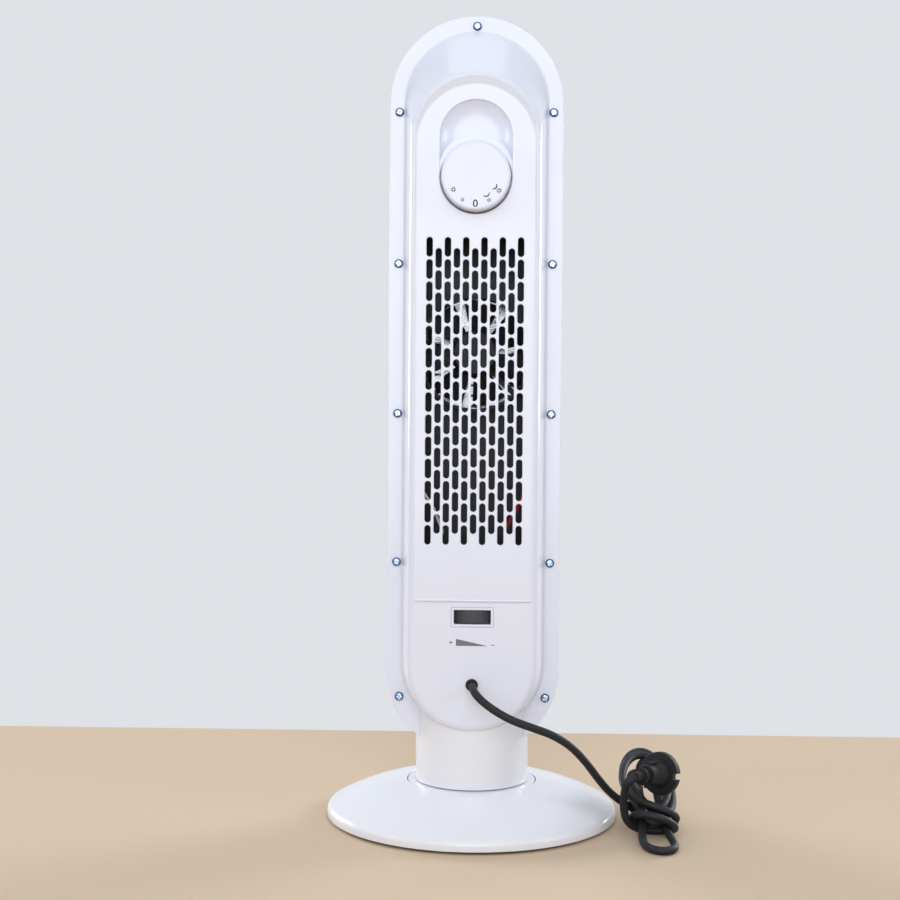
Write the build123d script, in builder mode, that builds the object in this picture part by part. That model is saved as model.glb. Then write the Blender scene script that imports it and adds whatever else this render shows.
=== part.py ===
from build123d import *
from math import acos, cos, pi, radians, sin, tan
import os

os.makedirs("parts", exist_ok=True)

# The heater stands on z = 0 at the origin. Its front faces -Y and its rear, with the controls, faces +Y.

# Whole heater
overall_height = 720.0
wall = 2.5
fit = 0.2
shaft_clear = 0.05
seat_gap = 0.3

# Flat parting plate between the two shells
plate_half = 77.5
plate_low = 136.0
plate_high = overall_height - plate_half
plate_front = 17.0
plate_rear = 20.0
plate_bevel = 1.0

# Raised rear housing, as stadium outlines: half width, lower centre, upper centre
housing_half = 64.0
housing_low = 143.0
housing_high = 641.0
lower_face = 54.8
crest_face = 60.5
crest_height = 662.0
far_face = 63.0
far_half = 54.9
far_low = 143.8
far_high = 601.6
rim_bevel = 2.6
hollow_depth = 52.0
hollow_slope = 6.8
hollow_crown = 30.5

# Flat panel set into the housing
panel_face = 56.0
panel_half = 51.3
panel_top_centre = 600.0
panel_step_slope = 2.0
ledge_height = 201.0

# Intake slots
slot_width = 5.4
slot_length = 16.9
slot_pitch_x = 8.02
slot_pitch_z = 19.33
slot_middle = 385.5
slot_columns = 11
slot_rows = 14
slot_point = 2.1

# Knob, its well and the finger scoop above it
knob_centre = 570.5
knob_radius = 30.0
knob_front = 70.0
knob_back = 50.5
knob_wall = 3.0
knob_crown = 4.0
knob_bevel = 1.2
knob_hub = 6.0
knob_swing = 54.0
well_clear = 1.6
well_floor = 46.0
scoop_centre = 606.8
scoop_depth = 9.0
scoop_edge = 2.2
land_drop = 1.5
land_centre = 576.0
land_radius = 32.8

# Rotary switch behind the knob
switch_size = 34.0
switch_rear = 27.0
switch_bush = 5.0
switch_screw_x = 13.0
spindle_radius = 3.0

# Thermostat thumbwheel and its frame
wheel_radius = 22.0
wheel_height = 186.0
wheel_thick = 12.0
wheel_proud = 0.4
wheel_ribs = 28
wheel_rib_depth = 0.7
window_width = 32.4
window_tall = 12.6
bezel_wall = 0.8
bezel_lip = 2.1
bezel_proud = 0.7
bezel_reach = 50.0
thermostat_half = 15.0
thermostat_low = 150.0
thermostat_high = 178.0
thermostat_front = 18.0
thermostat_rear = 48.0
thermostat_ear = 20.0
thermostat_boss_y = 44.0

# Mains lead
cord_radius = 3.5
cord_sides = 8
cord_hole_height = 127.5
cord_hole_radius = 5.3
gland_flange = 8.0
gland_front = 49.0
gland_rear = 56.0
wire_radius = 1.4
wire_bend = 5.0

# Front shell and outlet
front_near = 14.0
front_near_half = 75.5
front_face = -58.0
front_wall = 2.8
front_far_half = 62.0
front_bevel = 8.0
outlet_half = 44.0
outlet_low = 265.0
outlet_high = 560.0
grille_ring = 4.0
grille_proud = 1.0
grille_depth = 4.6
grille_flange = 3.0
louvre_pitch = 10.0
louvre_thick = 2.5

# Case screws
screw_head_radius = 3.9
screw_head_tall = 2.5
screw_shank = 1.9
screw_length = 16.0
screw_boss = 4.5
screw_side_x = 68.8
screw_heights = (634.2, 499.2, 365.2, 231.9)
screw_low = (65.6, 110.6)
screw_top = 710.6

# Hidden fixing screws
fixing_head = 3.2
fixing_tall = 1.6
fixing_shank = 1.5
fixing_boss = 4.2
boss_sides = 8

# Round base
base_radius = 131.0
base_skirt_bottom = 2.3
base_rim_height = 7.0
base_rim_round = (129.6, 10.2)
base_shoulder = (126.0, 12.4)
base_dome = (97.0, 24.6)
base_crown = 33.0
cover_lip_tall = 8.0
sheet = 2.4
sheet_clear = 0.6
pad_tall = 2.6
pad_radius = 13.0
pad_ring = 112.0
pad_count = 6
pad_first_angle = 20.0
cover_boss_ring = 100.0
ballast_inner = 64.0
ballast_outer = 92.0
ballast_tall = 9.0

# Swivel
column_swing = 35.0
turntable_radius = 57.9
ring_gap = 0.7
turntable_thick = 3.0
turntable_drop = 0.2
neck_radius = 51.0
neck_seam = 0.8
neck_top = 112.0
neck_clear = 0.4
neck_boss_ring = 40.0
neck_boss_angles = (25, 155, -60, -120)
neck_boss_top = 46.5
neck_ear_x = 56.0
neck_ear_z = 126.0
neck_ear_front = -8.0
neck_ear_rear = -5.0
upstand_top = 40.0
hub_radius = 30.0
hub_height = 10.2
spigot_radius = 16.0
spigot_bore = 8.0
post_flange = 44.0
post_flange_tall = 4.0
post_screw_ring = 38.0
shoulder_height = 24.0
glide_thick = 1.5

# Swing drive
gear_module = 1.5
sector_teeth = 32
pinion_teeth = 12
gear_face = 6.0
gear_addendum = 1.2
gear_dedendum = 1.9
gear_play = 0.07
pressure_angle = 20.0
sector_screw_ring = 12.0
pinion_shaft = 2.5
motor_radius = 22.0
motor_bottom = 47.0
motor_tall = 15.0
motor_offset = 24.0
motor_lug = 27.0
motor_lug_thick = 1.5

# Fan
fan_height = 420.0
fan_wall = 2.5
fan_front = -12.0
fan_plate_half = 60.0
fan_plate_low = 228.0
fan_plate_high = 598.0
fan_plate_round = 30.0
duct_bore = 50.0
duct_rear = 14.0
spoke_width = 5.0
fan_cup = 22.0
rotor_tip = 48.0
rotor_hub = 20.0
rotor_front = -7.0
rotor_rear = 12.0
rotor_boss = 5.0
rotor_shaft_radius = 2.5
blade_count = 7
blade_first_angle = 30.5
blade_thick = 1.6
blade_root_chord = 15.0
blade_tip_chord = 40.0
blade_pitch = 26.0
fan_motor_radius = 19.0
fan_motor_deep = 14.0
fan_motor_screw = 12.0
case_post_x = 54.0
fan_post_rise = 58.0

# Heater
heater_half = 44.0
heater_rise = 70.0
heater_front = -46.0
heater_rear = -29.0
heater_wall = 6.0
heater_post_rise = 40.0
element_count = 4
element_width = 8.0
element_depth = 12.0
fin_pitch = 16.0
fin_thick = 0.8
cutout_radius = 7.5

# Tip-over switch
tip_x = -32.0
tip_z = 180.0
tip_size = (26.0, 14.0, 30.0)

rearwards = (0, 1, 0)
upwards = (0, 0, 1)
downwards = (0, 0, -1)


def rear_plane(y):
    """A plane seen from behind the heater: its own x runs to -X, its y to +Z."""
    return Plane(origin=(0, y, 0), x_dir=(-1, 0, 0), z_dir=rearwards)


def seat(x, y, z, direction):
    """The plane that a screw's head rests on, facing the given way."""
    return Plane(origin=(x, y, z), x_dir=(1, 0, 0), z_dir=direction)


def stadium(half, low, high, mode=Mode.ADD):
    """An upright slot outline between two arc centres on the heater's middle line."""
    with Locations((0, (low + high) / 2)):
        SlotCenterToCenter(high - low, 2 * half, rotation=90, mode=mode)


def along(arc, runs):
    """Points that divide an arc into even runs, its ends included."""
    return [arc @ (k / runs) for k in range(runs + 1)]


def tapered_stadium(near_y, near, far_y, far):
    """A solid lofted between two stadium outlines, given as half width and two centres."""
    with BuildPart() as form:
        with BuildSketch(rear_plane(near_y)):
            stadium(*near)
        with BuildSketch(rear_plane(far_y)):
            stadium(*far)
        loft()
    return form.part


def fixing(place, length):
    """A hexagon-head screw on its seat, with its thread as a plain six-sided shank."""
    with BuildPart() as one:
        with BuildSketch(place):
            RegularPolygon(fixing_head, 6)
        extrude(amount=fixing_tall)
        with BuildSketch(place):
            RegularPolygon(fixing_shank, 6)
        extrude(amount=-length)
    return one.part


def fixing_hole(place, depth):
    """The hole for a fixing screw, running back from its seat."""
    with BuildPart() as hole:
        with BuildSketch(place):
            RegularPolygon(fixing_shank + shaft_clear, 6)
        extrude(amount=-depth)
    return hole.part


def polar(radius, degrees):
    return (radius * cos(radians(degrees)), radius * sin(radians(degrees)))


def corners(x, y):
    return [(side * x, end * y) for end in (-1, 1) for side in (1, -1)]


def save(name, piece):
    piece.part.label = name
    export_step(piece.part, f"parts/{name}.step")


case_screw_places = [(side * screw_side_x, z) for z in screw_heights for side in (1, -1)]
case_screw_places += [(side * screw_low[0], screw_low[1]) for side in (1, -1)]
case_screw_places += [(0, screw_top)]

well_radius = knob_radius + well_clear
turntable_top = base_crown - turntable_drop
turntable_bottom = turntable_top - turntable_thick
neck_bottom = turntable_top + neck_seam
neck_inner = neck_radius - wall
neck_ear_places = [(side * neck_ear_x, neck_ear_z) for side in (1, -1)]
fan_places = [(x, fan_height + rise) for x, rise in corners(case_post_x, fan_post_rise)]
heater_places = [(x, fan_height + rise) for x, rise in corners(case_post_x, heater_post_rise)]
fan_axis = Plane(origin=(0, 0, fan_height), x_dir=(-1, 0, 0), z_dir=rearwards)
wheel_y = lower_face + wheel_proud - wheel_radius

# Rear shell: parting plate, raised housing, recessed panel with its slots, knob well and scoop

housing_form = tapered_stadium(
    plate_rear,
    (housing_half, housing_low, housing_high),
    far_face,
    (far_half, far_low, far_high),
)

with BuildPart() as crown_cut:
    with BuildSketch(Plane.YZ):
        with BuildLine():
            Polyline(
                (lower_face, 0),
                (lower_face, ledge_height),
                (panel_face, ledge_height + 70),
                (panel_face + 0.6, 520),
                (panel_face + 2.4, 628),
                (crest_face, crest_height),
                (crest_face + 40, overall_height),
                (crest_face + 40, 0),
                (lower_face, 0),
            )
        make_face()
    extrude(amount=housing_half + 10, both=True)

with BuildPart() as rear_housing:
    add(housing_form)
    add(crown_cut.part, mode=Mode.SUBTRACT)
    crown_faces = rear_housing.faces().filter_by(lambda face: face.center().Y > lower_face - 0.5)
    crown_rim = crown_faces.edges().filter_by(
        lambda edge: not (edge.geom_type == GeomType.LINE and abs(edge.tangent_at(0.5).X) > 0.9)
    )
    chamfer(crown_rim, rim_bevel)

housing_inner = housing_half - wall
housing_hollow = tapered_stadium(
    plate_rear,
    (housing_inner, housing_low, housing_high - 1.3),
    hollow_depth,
    (housing_inner - hollow_slope, housing_low + 0.6, housing_high - hollow_crown),
)

pocket_rise = 6.0
pocket_low = ledge_height + panel_half + 8
panel_pocket = tapered_stadium(
    panel_face,
    (panel_half, pocket_low, panel_top_centre),
    panel_face + pocket_rise,
    (panel_half + panel_step_slope * pocket_rise, pocket_low, panel_top_centre),
)

with BuildPart() as scoop_form:
    with BuildSketch(Plane.YZ):
        with BuildLine():
            Polyline(
                (panel_face + 3, scoop_centre),
                (panel_face + 3, scoop_centre + well_radius),
                (panel_face - scoop_edge, scoop_centre + well_radius),
            )
            Polyline(
                (panel_face - scoop_edge, scoop_centre + well_radius),
                (panel_face - 0.8 * scoop_depth, scoop_centre + 0.66 * well_radius),
                (panel_face - scoop_depth, scoop_centre),
            )
            Line((panel_face - scoop_depth, scoop_centre), (panel_face + 3, scoop_centre))
        make_face()
    revolve(axis=Axis((0, 0, scoop_centre), (0, 1, 0)))
    with BuildSketch(Plane.XY.offset(knob_centre)):
        with BuildLine():
            Polyline(
                (well_radius, panel_face - scoop_edge),
                (0.66 * well_radius, panel_face - 0.8 * scoop_depth),
                (0, panel_face - scoop_depth),
            )
            Polyline(
                (0, panel_face - scoop_depth),
                (0, panel_face + 3),
                (well_radius, panel_face + 3),
                (well_radius, panel_face - scoop_edge),
            )
        make_face()
        mirror(about=Plane.YZ)
    extrude(amount=scoop_centre - knob_centre)
    with BuildSketch(rear_plane(well_floor - wall)):
        with Locations((0, land_centre)):
            Circle(land_radius)
    extrude(amount=panel_face, mode=Mode.SUBTRACT)

slot_places = []
for column in range(slot_columns):
    rows = slot_rows - column % 2
    x = (column - (slot_columns - 1) / 2) * slot_pitch_x
    for row in range(rows):
        slot_places.append((x, slot_middle + (row - (rows - 1) / 2) * slot_pitch_z))

with BuildSketch() as slot_outline:
    with BuildLine():
        Polyline(
            (slot_width / 2, slot_length / 2 - slot_point),
            (0, slot_length / 2),
            (-slot_width / 2, slot_length / 2 - slot_point),
            (-slot_width / 2, slot_point - slot_length / 2),
            (0, -slot_length / 2),
            (slot_width / 2, slot_point - slot_length / 2),
            close=True,
        )
    make_face()

with BuildPart() as rear_shell:
    add(rear_housing.part)
    with BuildSketch(rear_plane(plate_front)):
        stadium(plate_half, plate_low, plate_high)
    extrude(amount=plate_rear - plate_front)
    plate_rim = rear_shell.edges().filter_by_position(Axis.Y, plate_rear - 0.01, plate_rear + 0.01)
    outer_rim = plate_rim.filter_by(
        lambda edge: max(abs(edge.bounding_box().max.X), abs(edge.bounding_box().min.X))
        > (plate_half + housing_half) / 2
    )
    chamfer(outer_rim, plate_bevel)
    with BuildSketch(rear_plane(panel_face)):
        with Locations((0, panel_top_centre)):
            Circle(panel_half)
        with Locations((0, (panel_top_centre + ledge_height) / 2)):
            Rectangle(2 * panel_half, panel_top_centre - ledge_height)
    extrude(amount=hollow_depth - panel_face)
    add(panel_pocket, mode=Mode.SUBTRACT)
    add(housing_hollow, mode=Mode.SUBTRACT)
    with BuildSketch(rear_plane(plate_front)):
        stadium(housing_inner, housing_low, housing_high - 1.3)
    extrude(amount=plate_rear - plate_front, mode=Mode.SUBTRACT)
    # Cup behind the knob well and the scoop
    with BuildSketch(rear_plane(well_floor - wall)):
        stadium(well_radius + wall, knob_centre, scoop_centre)
    extrude(amount=hollow_depth - well_floor + wall)
    with BuildSketch(rear_plane(panel_face - land_drop)):
        stadium(well_radius, knob_centre, scoop_centre)
    extrude(amount=land_drop + pocket_rise, mode=Mode.SUBTRACT)
    with BuildSketch(rear_plane(well_floor)):
        with Locations((0, knob_centre)):
            Circle(well_radius)
    extrude(amount=panel_face - well_floor, mode=Mode.SUBTRACT)
    add(scoop_form.part, mode=Mode.SUBTRACT)
    # Bosses for the thermostat
    with BuildSketch(rear_plane(thermostat_boss_y)):
        with Locations((0, (thermostat_low + thermostat_high) / 2)):
            with GridLocations(2 * thermostat_ear, 0, 2, 1):
                RegularPolygon(fixing_boss, boss_sides)
    extrude(amount=hollow_depth - thermostat_boss_y + 0.5)
    # Slots, window and holes
    with BuildSketch(rear_plane(hollow_depth - 1)):
        with Locations(slot_places):
            add(slot_outline.sketch)
    extrude(amount=panel_face - hollow_depth + 2, mode=Mode.SUBTRACT)
    with BuildSketch(rear_plane(hollow_depth - 1)):
        with Locations((0, wheel_height)):
            Rectangle(
                window_width + 2 * bezel_wall + fit,
                window_tall + 2 * bezel_wall + fit,
            )
        with Locations((0, cord_hole_height)):
            Circle(cord_hole_radius)
    extrude(amount=lower_face - hollow_depth + 2, mode=Mode.SUBTRACT)
    with BuildSketch(rear_plane(plate_front)):
        with Locations(case_screw_places):
            RegularPolygon(screw_shank + fit, 6)
    extrude(amount=plate_rear - plate_front, mode=Mode.SUBTRACT)
    with BuildSketch(rear_plane(well_floor - wall)):
        with Locations((0, knob_centre)):
            Circle(switch_bush + fit)
    extrude(amount=wall, mode=Mode.SUBTRACT)
    for side in (1, -1):
        add(
            fixing_hole(seat(side * switch_screw_x, well_floor, knob_centre, rearwards), wall),
            mode=Mode.SUBTRACT,
        )
        add(
            fixing_hole(
                seat(
                    side * thermostat_ear,
                    thermostat_boss_y,
                    (thermostat_low + thermostat_high) / 2,
                    (0, -1, 0),
                ),
                7,
            ),
            mode=Mode.SUBTRACT,
        )
    with BuildSketch(Plane.XY):
        Circle(neck_radius + neck_clear)
    extrude(amount=neck_top + neck_clear, mode=Mode.SUBTRACT)

save("rear_shell", rear_shell)

# Front shell: rim behind the parting plate, tapered body, screw bosses and posts for what it carries

with BuildPart() as front_form:
    add(
        tapered_stadium(
            front_near,
            (front_near_half, plate_low, plate_high),
            front_face,
            (front_far_half, plate_low, plate_high),
        )
    )
    chamfer(front_form.faces().sort_by(Axis.Y)[0].edges(), front_bevel)

with BuildPart() as front_hollow:
    add(
        tapered_stadium(
            front_near,
            (front_near_half - wall, plate_low, plate_high),
            front_face + front_wall,
            (front_far_half - wall, plate_low, plate_high),
        )
    )
    chamfer(front_hollow.faces().sort_by(Axis.Y)[0].edges(), front_bevel - 1.2)

with BuildPart() as front_posts:
    with BuildSketch(rear_plane(front_near)):
        with Locations(case_screw_places):
            RegularPolygon(screw_boss, boss_sides)
    extrude(amount=plate_rear - screw_length - 2 - front_near)
    for top, places in (
        (neck_ear_front, neck_ear_places),
        (fan_front, fan_places),
        (heater_rear - wall, heater_places),
    ):
        with BuildSketch(rear_plane(front_face)):
            with Locations(places):
                RegularPolygon(fixing_boss, boss_sides)
        extrude(amount=top - front_face)
    add(front_form.part, mode=Mode.INTERSECT)

with BuildPart() as front_shell:
    add(front_form.part)
    add(front_hollow.part, mode=Mode.SUBTRACT)
    with BuildSketch(rear_plane(front_near)):
        stadium(plate_half, plate_low, plate_high)
        stadium(front_near_half - wall, plate_low, plate_high, mode=Mode.SUBTRACT)
        with Locations(case_screw_places):
            RegularPolygon(screw_boss, boss_sides)
    extrude(amount=plate_front - front_near)
    add(front_posts.part)
    with BuildSketch(rear_plane(plate_front)):
        with Locations(case_screw_places):
            RegularPolygon(screw_shank + shaft_clear, 6)
    extrude(amount=plate_rear - screw_length - 0.5 - plate_front, mode=Mode.SUBTRACT)
    for top, places in (
        (neck_ear_front, neck_ear_places),
        (fan_front, fan_places),
        (heater_rear - wall, heater_places),
    ):
        for x, z in places:
            add(fixing_hole(seat(x, top, z, rearwards), 10), mode=Mode.SUBTRACT)
    with BuildSketch(rear_plane(front_face)):
        stadium(outlet_half, outlet_low, outlet_high)
    extrude(amount=front_wall, mode=Mode.SUBTRACT)
    with BuildSketch(Plane.XY):
        Circle(neck_radius + neck_clear)
    extrude(amount=neck_top + neck_clear, mode=Mode.SUBTRACT)

save("front_shell", front_shell)

with BuildPart() as case_screws:
    for x, z in case_screw_places:
        with BuildSketch(seat(x, plate_rear, z, rearwards)):
            RegularPolygon(screw_head_radius, 8)
        extrude(amount=screw_head_tall)
        with BuildSketch(seat(x, plate_rear, z, rearwards)):
            RegularPolygon(screw_shank, 6)
        extrude(amount=-screw_length)

save("case_screws", case_screws)

# Outlet grille: ring, louvres and a flange that holds behind the front wall

louvre_count = int((outlet_high - outlet_low + 2 * outlet_half) / louvre_pitch)
grille_half = outlet_half - seat_gap
with BuildPart() as front_grille:
    with BuildSketch(rear_plane(front_face - grille_proud)):
        stadium(grille_half, outlet_low, outlet_high)
        stadium(grille_half - grille_ring, outlet_low, outlet_high, mode=Mode.SUBTRACT)
    extrude(amount=grille_proud + grille_depth)
    with BuildSketch(rear_plane(front_face + front_wall)):
        stadium(grille_half + grille_flange, outlet_low, outlet_high)
        stadium(grille_half - grille_ring, outlet_low, outlet_high, mode=Mode.SUBTRACT)
    extrude(amount=grille_depth - front_wall)
    with BuildSketch(rear_plane(front_face)):
        with Locations((0, (outlet_low + outlet_high) / 2)):
            with GridLocations(0, louvre_pitch, 1, louvre_count - 1):
                Rectangle(2 * outlet_half, louvre_thick)
        stadium(grille_half - grille_ring / 2, outlet_low, outlet_high, mode=Mode.INTERSECT)
    extrude(amount=grille_depth - grille_proud)

save("front_grille", front_grille)

# Base: cover with a lip at its opening, bottom plate, pads, ballast and swivel post

plate_radius = base_radius - wall - sheet_clear
sheet_top = pad_tall + sheet
cover_opening = turntable_radius + ring_gap
cover_screw_places = [polar(cover_boss_ring, pad_first_angle + 30 + 120 * k) for k in range(3)]
post_screw_places = [polar(post_screw_ring, 90 + 120 * k) for k in range(3)]

with BuildPart() as cover_form:
    with BuildSketch(Plane.XZ):
        with BuildLine():
            Polyline(
                (0, base_skirt_bottom),
                (base_radius, base_skirt_bottom),
                (base_radius, base_rim_height),
            )
            rim = ThreePointArc(
                (base_radius, base_rim_height),
                base_rim_round,
                base_shoulder,
                mode=Mode.PRIVATE,
            )
            dome = ThreePointArc(
                base_shoulder,
                base_dome,
                (cover_opening, base_crown),
                mode=Mode.PRIVATE,
            )
            Polyline(*along(rim, 2))
            Polyline(*along(dome, 4))
            Polyline((cover_opening, base_crown), (0, base_crown), (0, base_skirt_bottom))
        make_face()
    revolve(axis=Axis.Z)

with BuildPart() as cover_hollow:
    with BuildSketch(Plane.XZ):
        with BuildLine():
            Polyline(
                (0, base_skirt_bottom),
                (base_radius - wall, base_skirt_bottom),
                (base_radius - wall, base_rim_height),
                (base_shoulder[0] - 1.4, base_shoulder[1] - wall),
                (base_dome[0] - 1.2, base_dome[1] - wall),
                (cover_opening + wall, base_crown - wall - 0.4),
                (cover_opening + wall, base_crown - cover_lip_tall),
                (0, base_crown - cover_lip_tall),
                close=True,
            )
        make_face()
    revolve(axis=Axis.Z)

with BuildPart() as cover_bosses:
    with BuildSketch(Plane.XY.offset(sheet_top)):
        with Locations(cover_screw_places):
            RegularPolygon(screw_boss, boss_sides)
    extrude(amount=base_crown)
    add(cover_form.part, mode=Mode.INTERSECT)

with BuildPart() as base_cover:
    add(cover_form.part)
    add(cover_hollow.part, mode=Mode.SUBTRACT)
    add(cover_bosses.part)
    with BuildSketch(Plane.XY):
        Circle(cover_opening)
    extrude(amount=overall_height, mode=Mode.SUBTRACT)
    for x, y in cover_screw_places:
        add(fixing_hole(seat(x, y, sheet_top, downwards), 11), mode=Mode.SUBTRACT)

save("base_cover", base_cover)

with BuildPart() as base_plate:
    with BuildSketch(Plane.XY.offset(pad_tall)):
        Circle(plate_radius)
    extrude(amount=sheet)
    for x, y in cover_screw_places + post_screw_places:
        add(fixing_hole(seat(x, y, pad_tall, downwards), sheet), mode=Mode.SUBTRACT)

save("base_plate", base_plate)

with BuildPart() as rubber_feet:
    with BuildSketch(Plane.XY):
        with PolarLocations(pad_ring, pad_count, start_angle=pad_first_angle):
            RegularPolygon(pad_radius, 16)
    extrude(amount=pad_tall)

save("rubber_feet", rubber_feet)

with BuildPart() as ballast_ring:
    with BuildSketch(Plane.XY.offset(sheet_top)):
        RegularPolygon(ballast_outer, 24)
        RegularPolygon(ballast_inner, 24, mode=Mode.SUBTRACT)
    extrude(amount=ballast_tall)

save("ballast_ring", ballast_ring)

with BuildPart() as base_screws:
    for x, y in cover_screw_places:
        add(fixing(seat(x, y, pad_tall, downwards), 12))
    for x, y in post_screw_places:
        add(fixing(seat(x, y, pad_tall, downwards), sheet + post_flange_tall - fit))

save("base_screws", base_screws)

hub_bottom = shoulder_height + glide_thick + seat_gap
hub_top = hub_bottom + hub_height
sector_bottom = hub_top + seat_gap

with BuildPart() as swivel_post:
    with BuildSketch(Plane.XY.offset(sheet_top)):
        RegularPolygon(post_flange, 24)
    extrude(amount=post_flange_tall)
    with BuildSketch(Plane.XY.offset(sheet_top)):
        RegularPolygon(hub_radius, 24)
    extrude(amount=shoulder_height - sheet_top)
    with BuildSketch(Plane.XY.offset(shoulder_height)):
        Circle(spigot_radius)
    extrude(amount=sector_bottom - shoulder_height)
    with BuildSketch(Plane.XY.offset(sheet_top)):
        Circle(spigot_bore)
    extrude(amount=sector_bottom - sheet_top, mode=Mode.SUBTRACT)
    for x, y in post_screw_places:
        add(fixing_hole(seat(x, y, sheet_top, downwards), post_flange_tall), mode=Mode.SUBTRACT)
    for k in range(3):
        x, y = polar(sector_screw_ring, 120 * k)
        add(fixing_hole(seat(x, y, sector_bottom, upwards), 8), mode=Mode.SUBTRACT)

save("swivel_post", swivel_post)

with BuildPart() as glide_ring:
    with BuildSketch(Plane.XY.offset(shoulder_height)):
        RegularPolygon(hub_radius - 0.5, 24)
        RegularPolygon(spigot_radius + 1, 24, mode=Mode.SUBTRACT)
    extrude(amount=glide_thick)

save("glide_ring", glide_ring)

# Swing drive: a toothed sector on the post, and a pinion on a small motor that rides on the turntable


def involute(angle):
    return tan(angle) - angle


def gear_tooth(teeth, degrees):
    """One tooth as a polygon from below the root circle to the tip, its middle at the given angle."""
    pitch = gear_module * teeth / 2
    base = pitch * cos(radians(pressure_angle))
    root = pitch - gear_dedendum
    tip = pitch + gear_addendum
    half_pitch = pi / (2 * teeth) - gear_play / pitch
    flank = []
    for radius in (root - 0.6, max(root, base), pitch, (pitch + tip) / 2, tip):
        reach = acos(base / radius) if radius > base else 0.0
        half = half_pitch + involute(radians(pressure_angle)) - involute(reach)
        flank.append((radius, half))
    middle = radians(degrees)
    right = [(r * cos(middle - a), r * sin(middle - a)) for r, a in flank]
    left = [(r * cos(middle + a), r * sin(middle + a)) for r, a in reversed(flank)]
    return right + left


sector_pitch = gear_module * sector_teeth / 2
pinion_pitch = gear_module * pinion_teeth / 2
gear_centres = sector_pitch + pinion_pitch
sector_reach = column_swing + 20

with BuildPart() as toothed_sector:
    with BuildSketch(Plane.XY.offset(sector_bottom)):
        Circle(sector_pitch - gear_dedendum)
        step = 360 / sector_teeth
        for k in range(-int(sector_reach / step), int(sector_reach / step) + 1):
            with BuildLine():
                Polyline(*gear_tooth(sector_teeth, -90 + k * step), close=True)
            make_face()
        Circle(spigot_bore, mode=Mode.SUBTRACT)
    extrude(amount=gear_face)
    for k in range(3):
        x, y = polar(sector_screw_ring, 120 * k)
        add(fixing_hole(seat(x, y, sector_bottom + gear_face, upwards), gear_face), mode=Mode.SUBTRACT)

save("toothed_sector", toothed_sector)

with BuildPart() as sector_screws:
    for k in range(3):
        x, y = polar(sector_screw_ring, 120 * k)
        add(fixing(seat(x, y, sector_bottom + gear_face, upwards), gear_face + 7))

save("sector_screws", sector_screws)

pinion_bottom = sector_bottom + 0.6

with BuildPart() as swing_pinion:
    with BuildSketch(Plane.XY.offset(pinion_bottom)):
        with Locations((0, -gear_centres)):
            Circle(pinion_pitch - gear_dedendum)
        for k in range(pinion_teeth):
            angle = 90 + (k + 0.5) * 360 / pinion_teeth
            points = [(x, y - gear_centres) for x, y in gear_tooth(pinion_teeth, angle)]
            with BuildLine():
                Polyline(*points, close=True)
            make_face()
    extrude(amount=gear_face + 0.4)
    with BuildSketch(Plane.XY.offset(pinion_bottom)):
        with Locations((0, -gear_centres)):
            Circle(pinion_shaft)
    extrude(amount=motor_bottom + 7 - pinion_bottom)

save("swing_pinion", swing_pinion)

with BuildPart() as swing_motor:
    with BuildSketch(Plane.XY.offset(motor_bottom)):
        with Locations((0, -motor_offset)):
            RegularPolygon(motor_radius, 20)
    extrude(amount=motor_tall)
    with BuildSketch(Plane.XY.offset(motor_bottom)):
        with Locations((0, -motor_offset)):
            SlotCenterToCenter(2 * motor_lug, 2 * fixing_boss)
    extrude(amount=motor_lug_thick)
    with BuildSketch(Plane.XY.offset(motor_bottom - 1.5)):
        with Locations((0, -gear_centres)):
            RegularPolygon(2 * pinion_shaft, 10)
    extrude(amount=1.5)
    with BuildSketch(Plane.XY.offset(motor_bottom - 1.5)):
        with Locations((0, -gear_centres)):
            Circle(pinion_shaft + shaft_clear)
    extrude(amount=1.5 + 8, mode=Mode.SUBTRACT)
    for side in (1, -1):
        place = seat(side * motor_lug, -motor_offset, motor_bottom + motor_lug_thick, upwards)
        add(fixing_hole(place, motor_lug_thick), mode=Mode.SUBTRACT)

save("swing_motor", swing_motor)

with BuildPart() as motor_screws:
    for side in (1, -1):
        place = seat(side * motor_lug, -motor_offset, motor_bottom + motor_lug_thick, upwards)
        add(fixing(place, 9))

save("motor_screws", motor_screws)

# Turntable: disc, hub that runs on the post, upstand for the neck and pillars for the motor

neck_boss_places = [polar(neck_boss_ring, angle) for angle in neck_boss_angles]

with BuildPart() as turntable:
    with BuildSketch(Plane.XY.offset(turntable_bottom)):
        Circle(turntable_radius)
    extrude(amount=turntable_thick)
    with BuildSketch(Plane.XY.offset(hub_bottom)):
        RegularPolygon(hub_radius, 24)
    extrude(amount=hub_height)
    with BuildSketch(Plane.XY.offset(turntable_top)):
        RegularPolygon(neck_inner - fit, 24)
        RegularPolygon(neck_inner - fit - wall, 24, mode=Mode.SUBTRACT)
    extrude(amount=upstand_top - turntable_top)
    with BuildSketch(Plane.XY.offset(turntable_top)):
        for side in (1, -1):
            with Locations((side * motor_lug, -motor_offset)):
                RegularPolygon(fixing_boss, boss_sides)
    extrude(amount=motor_bottom - turntable_top)
    with BuildSketch(Plane.XY.offset(hub_bottom)):
        Circle(spigot_radius + shaft_clear)
    extrude(amount=hub_height, mode=Mode.SUBTRACT)
    for side in (1, -1):
        place = seat(side * motor_lug, -motor_offset, motor_bottom, upwards)
        add(fixing_hole(place, 9), mode=Mode.SUBTRACT)
    for x, y in neck_boss_places:
        place = seat(x, y, turntable_bottom, downwards)
        add(fixing_hole(place, turntable_thick), mode=Mode.SUBTRACT)

save("turntable", turntable)

# Neck sleeve: the tube between turntable and case, with inner bosses and two ears for the front shell

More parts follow.
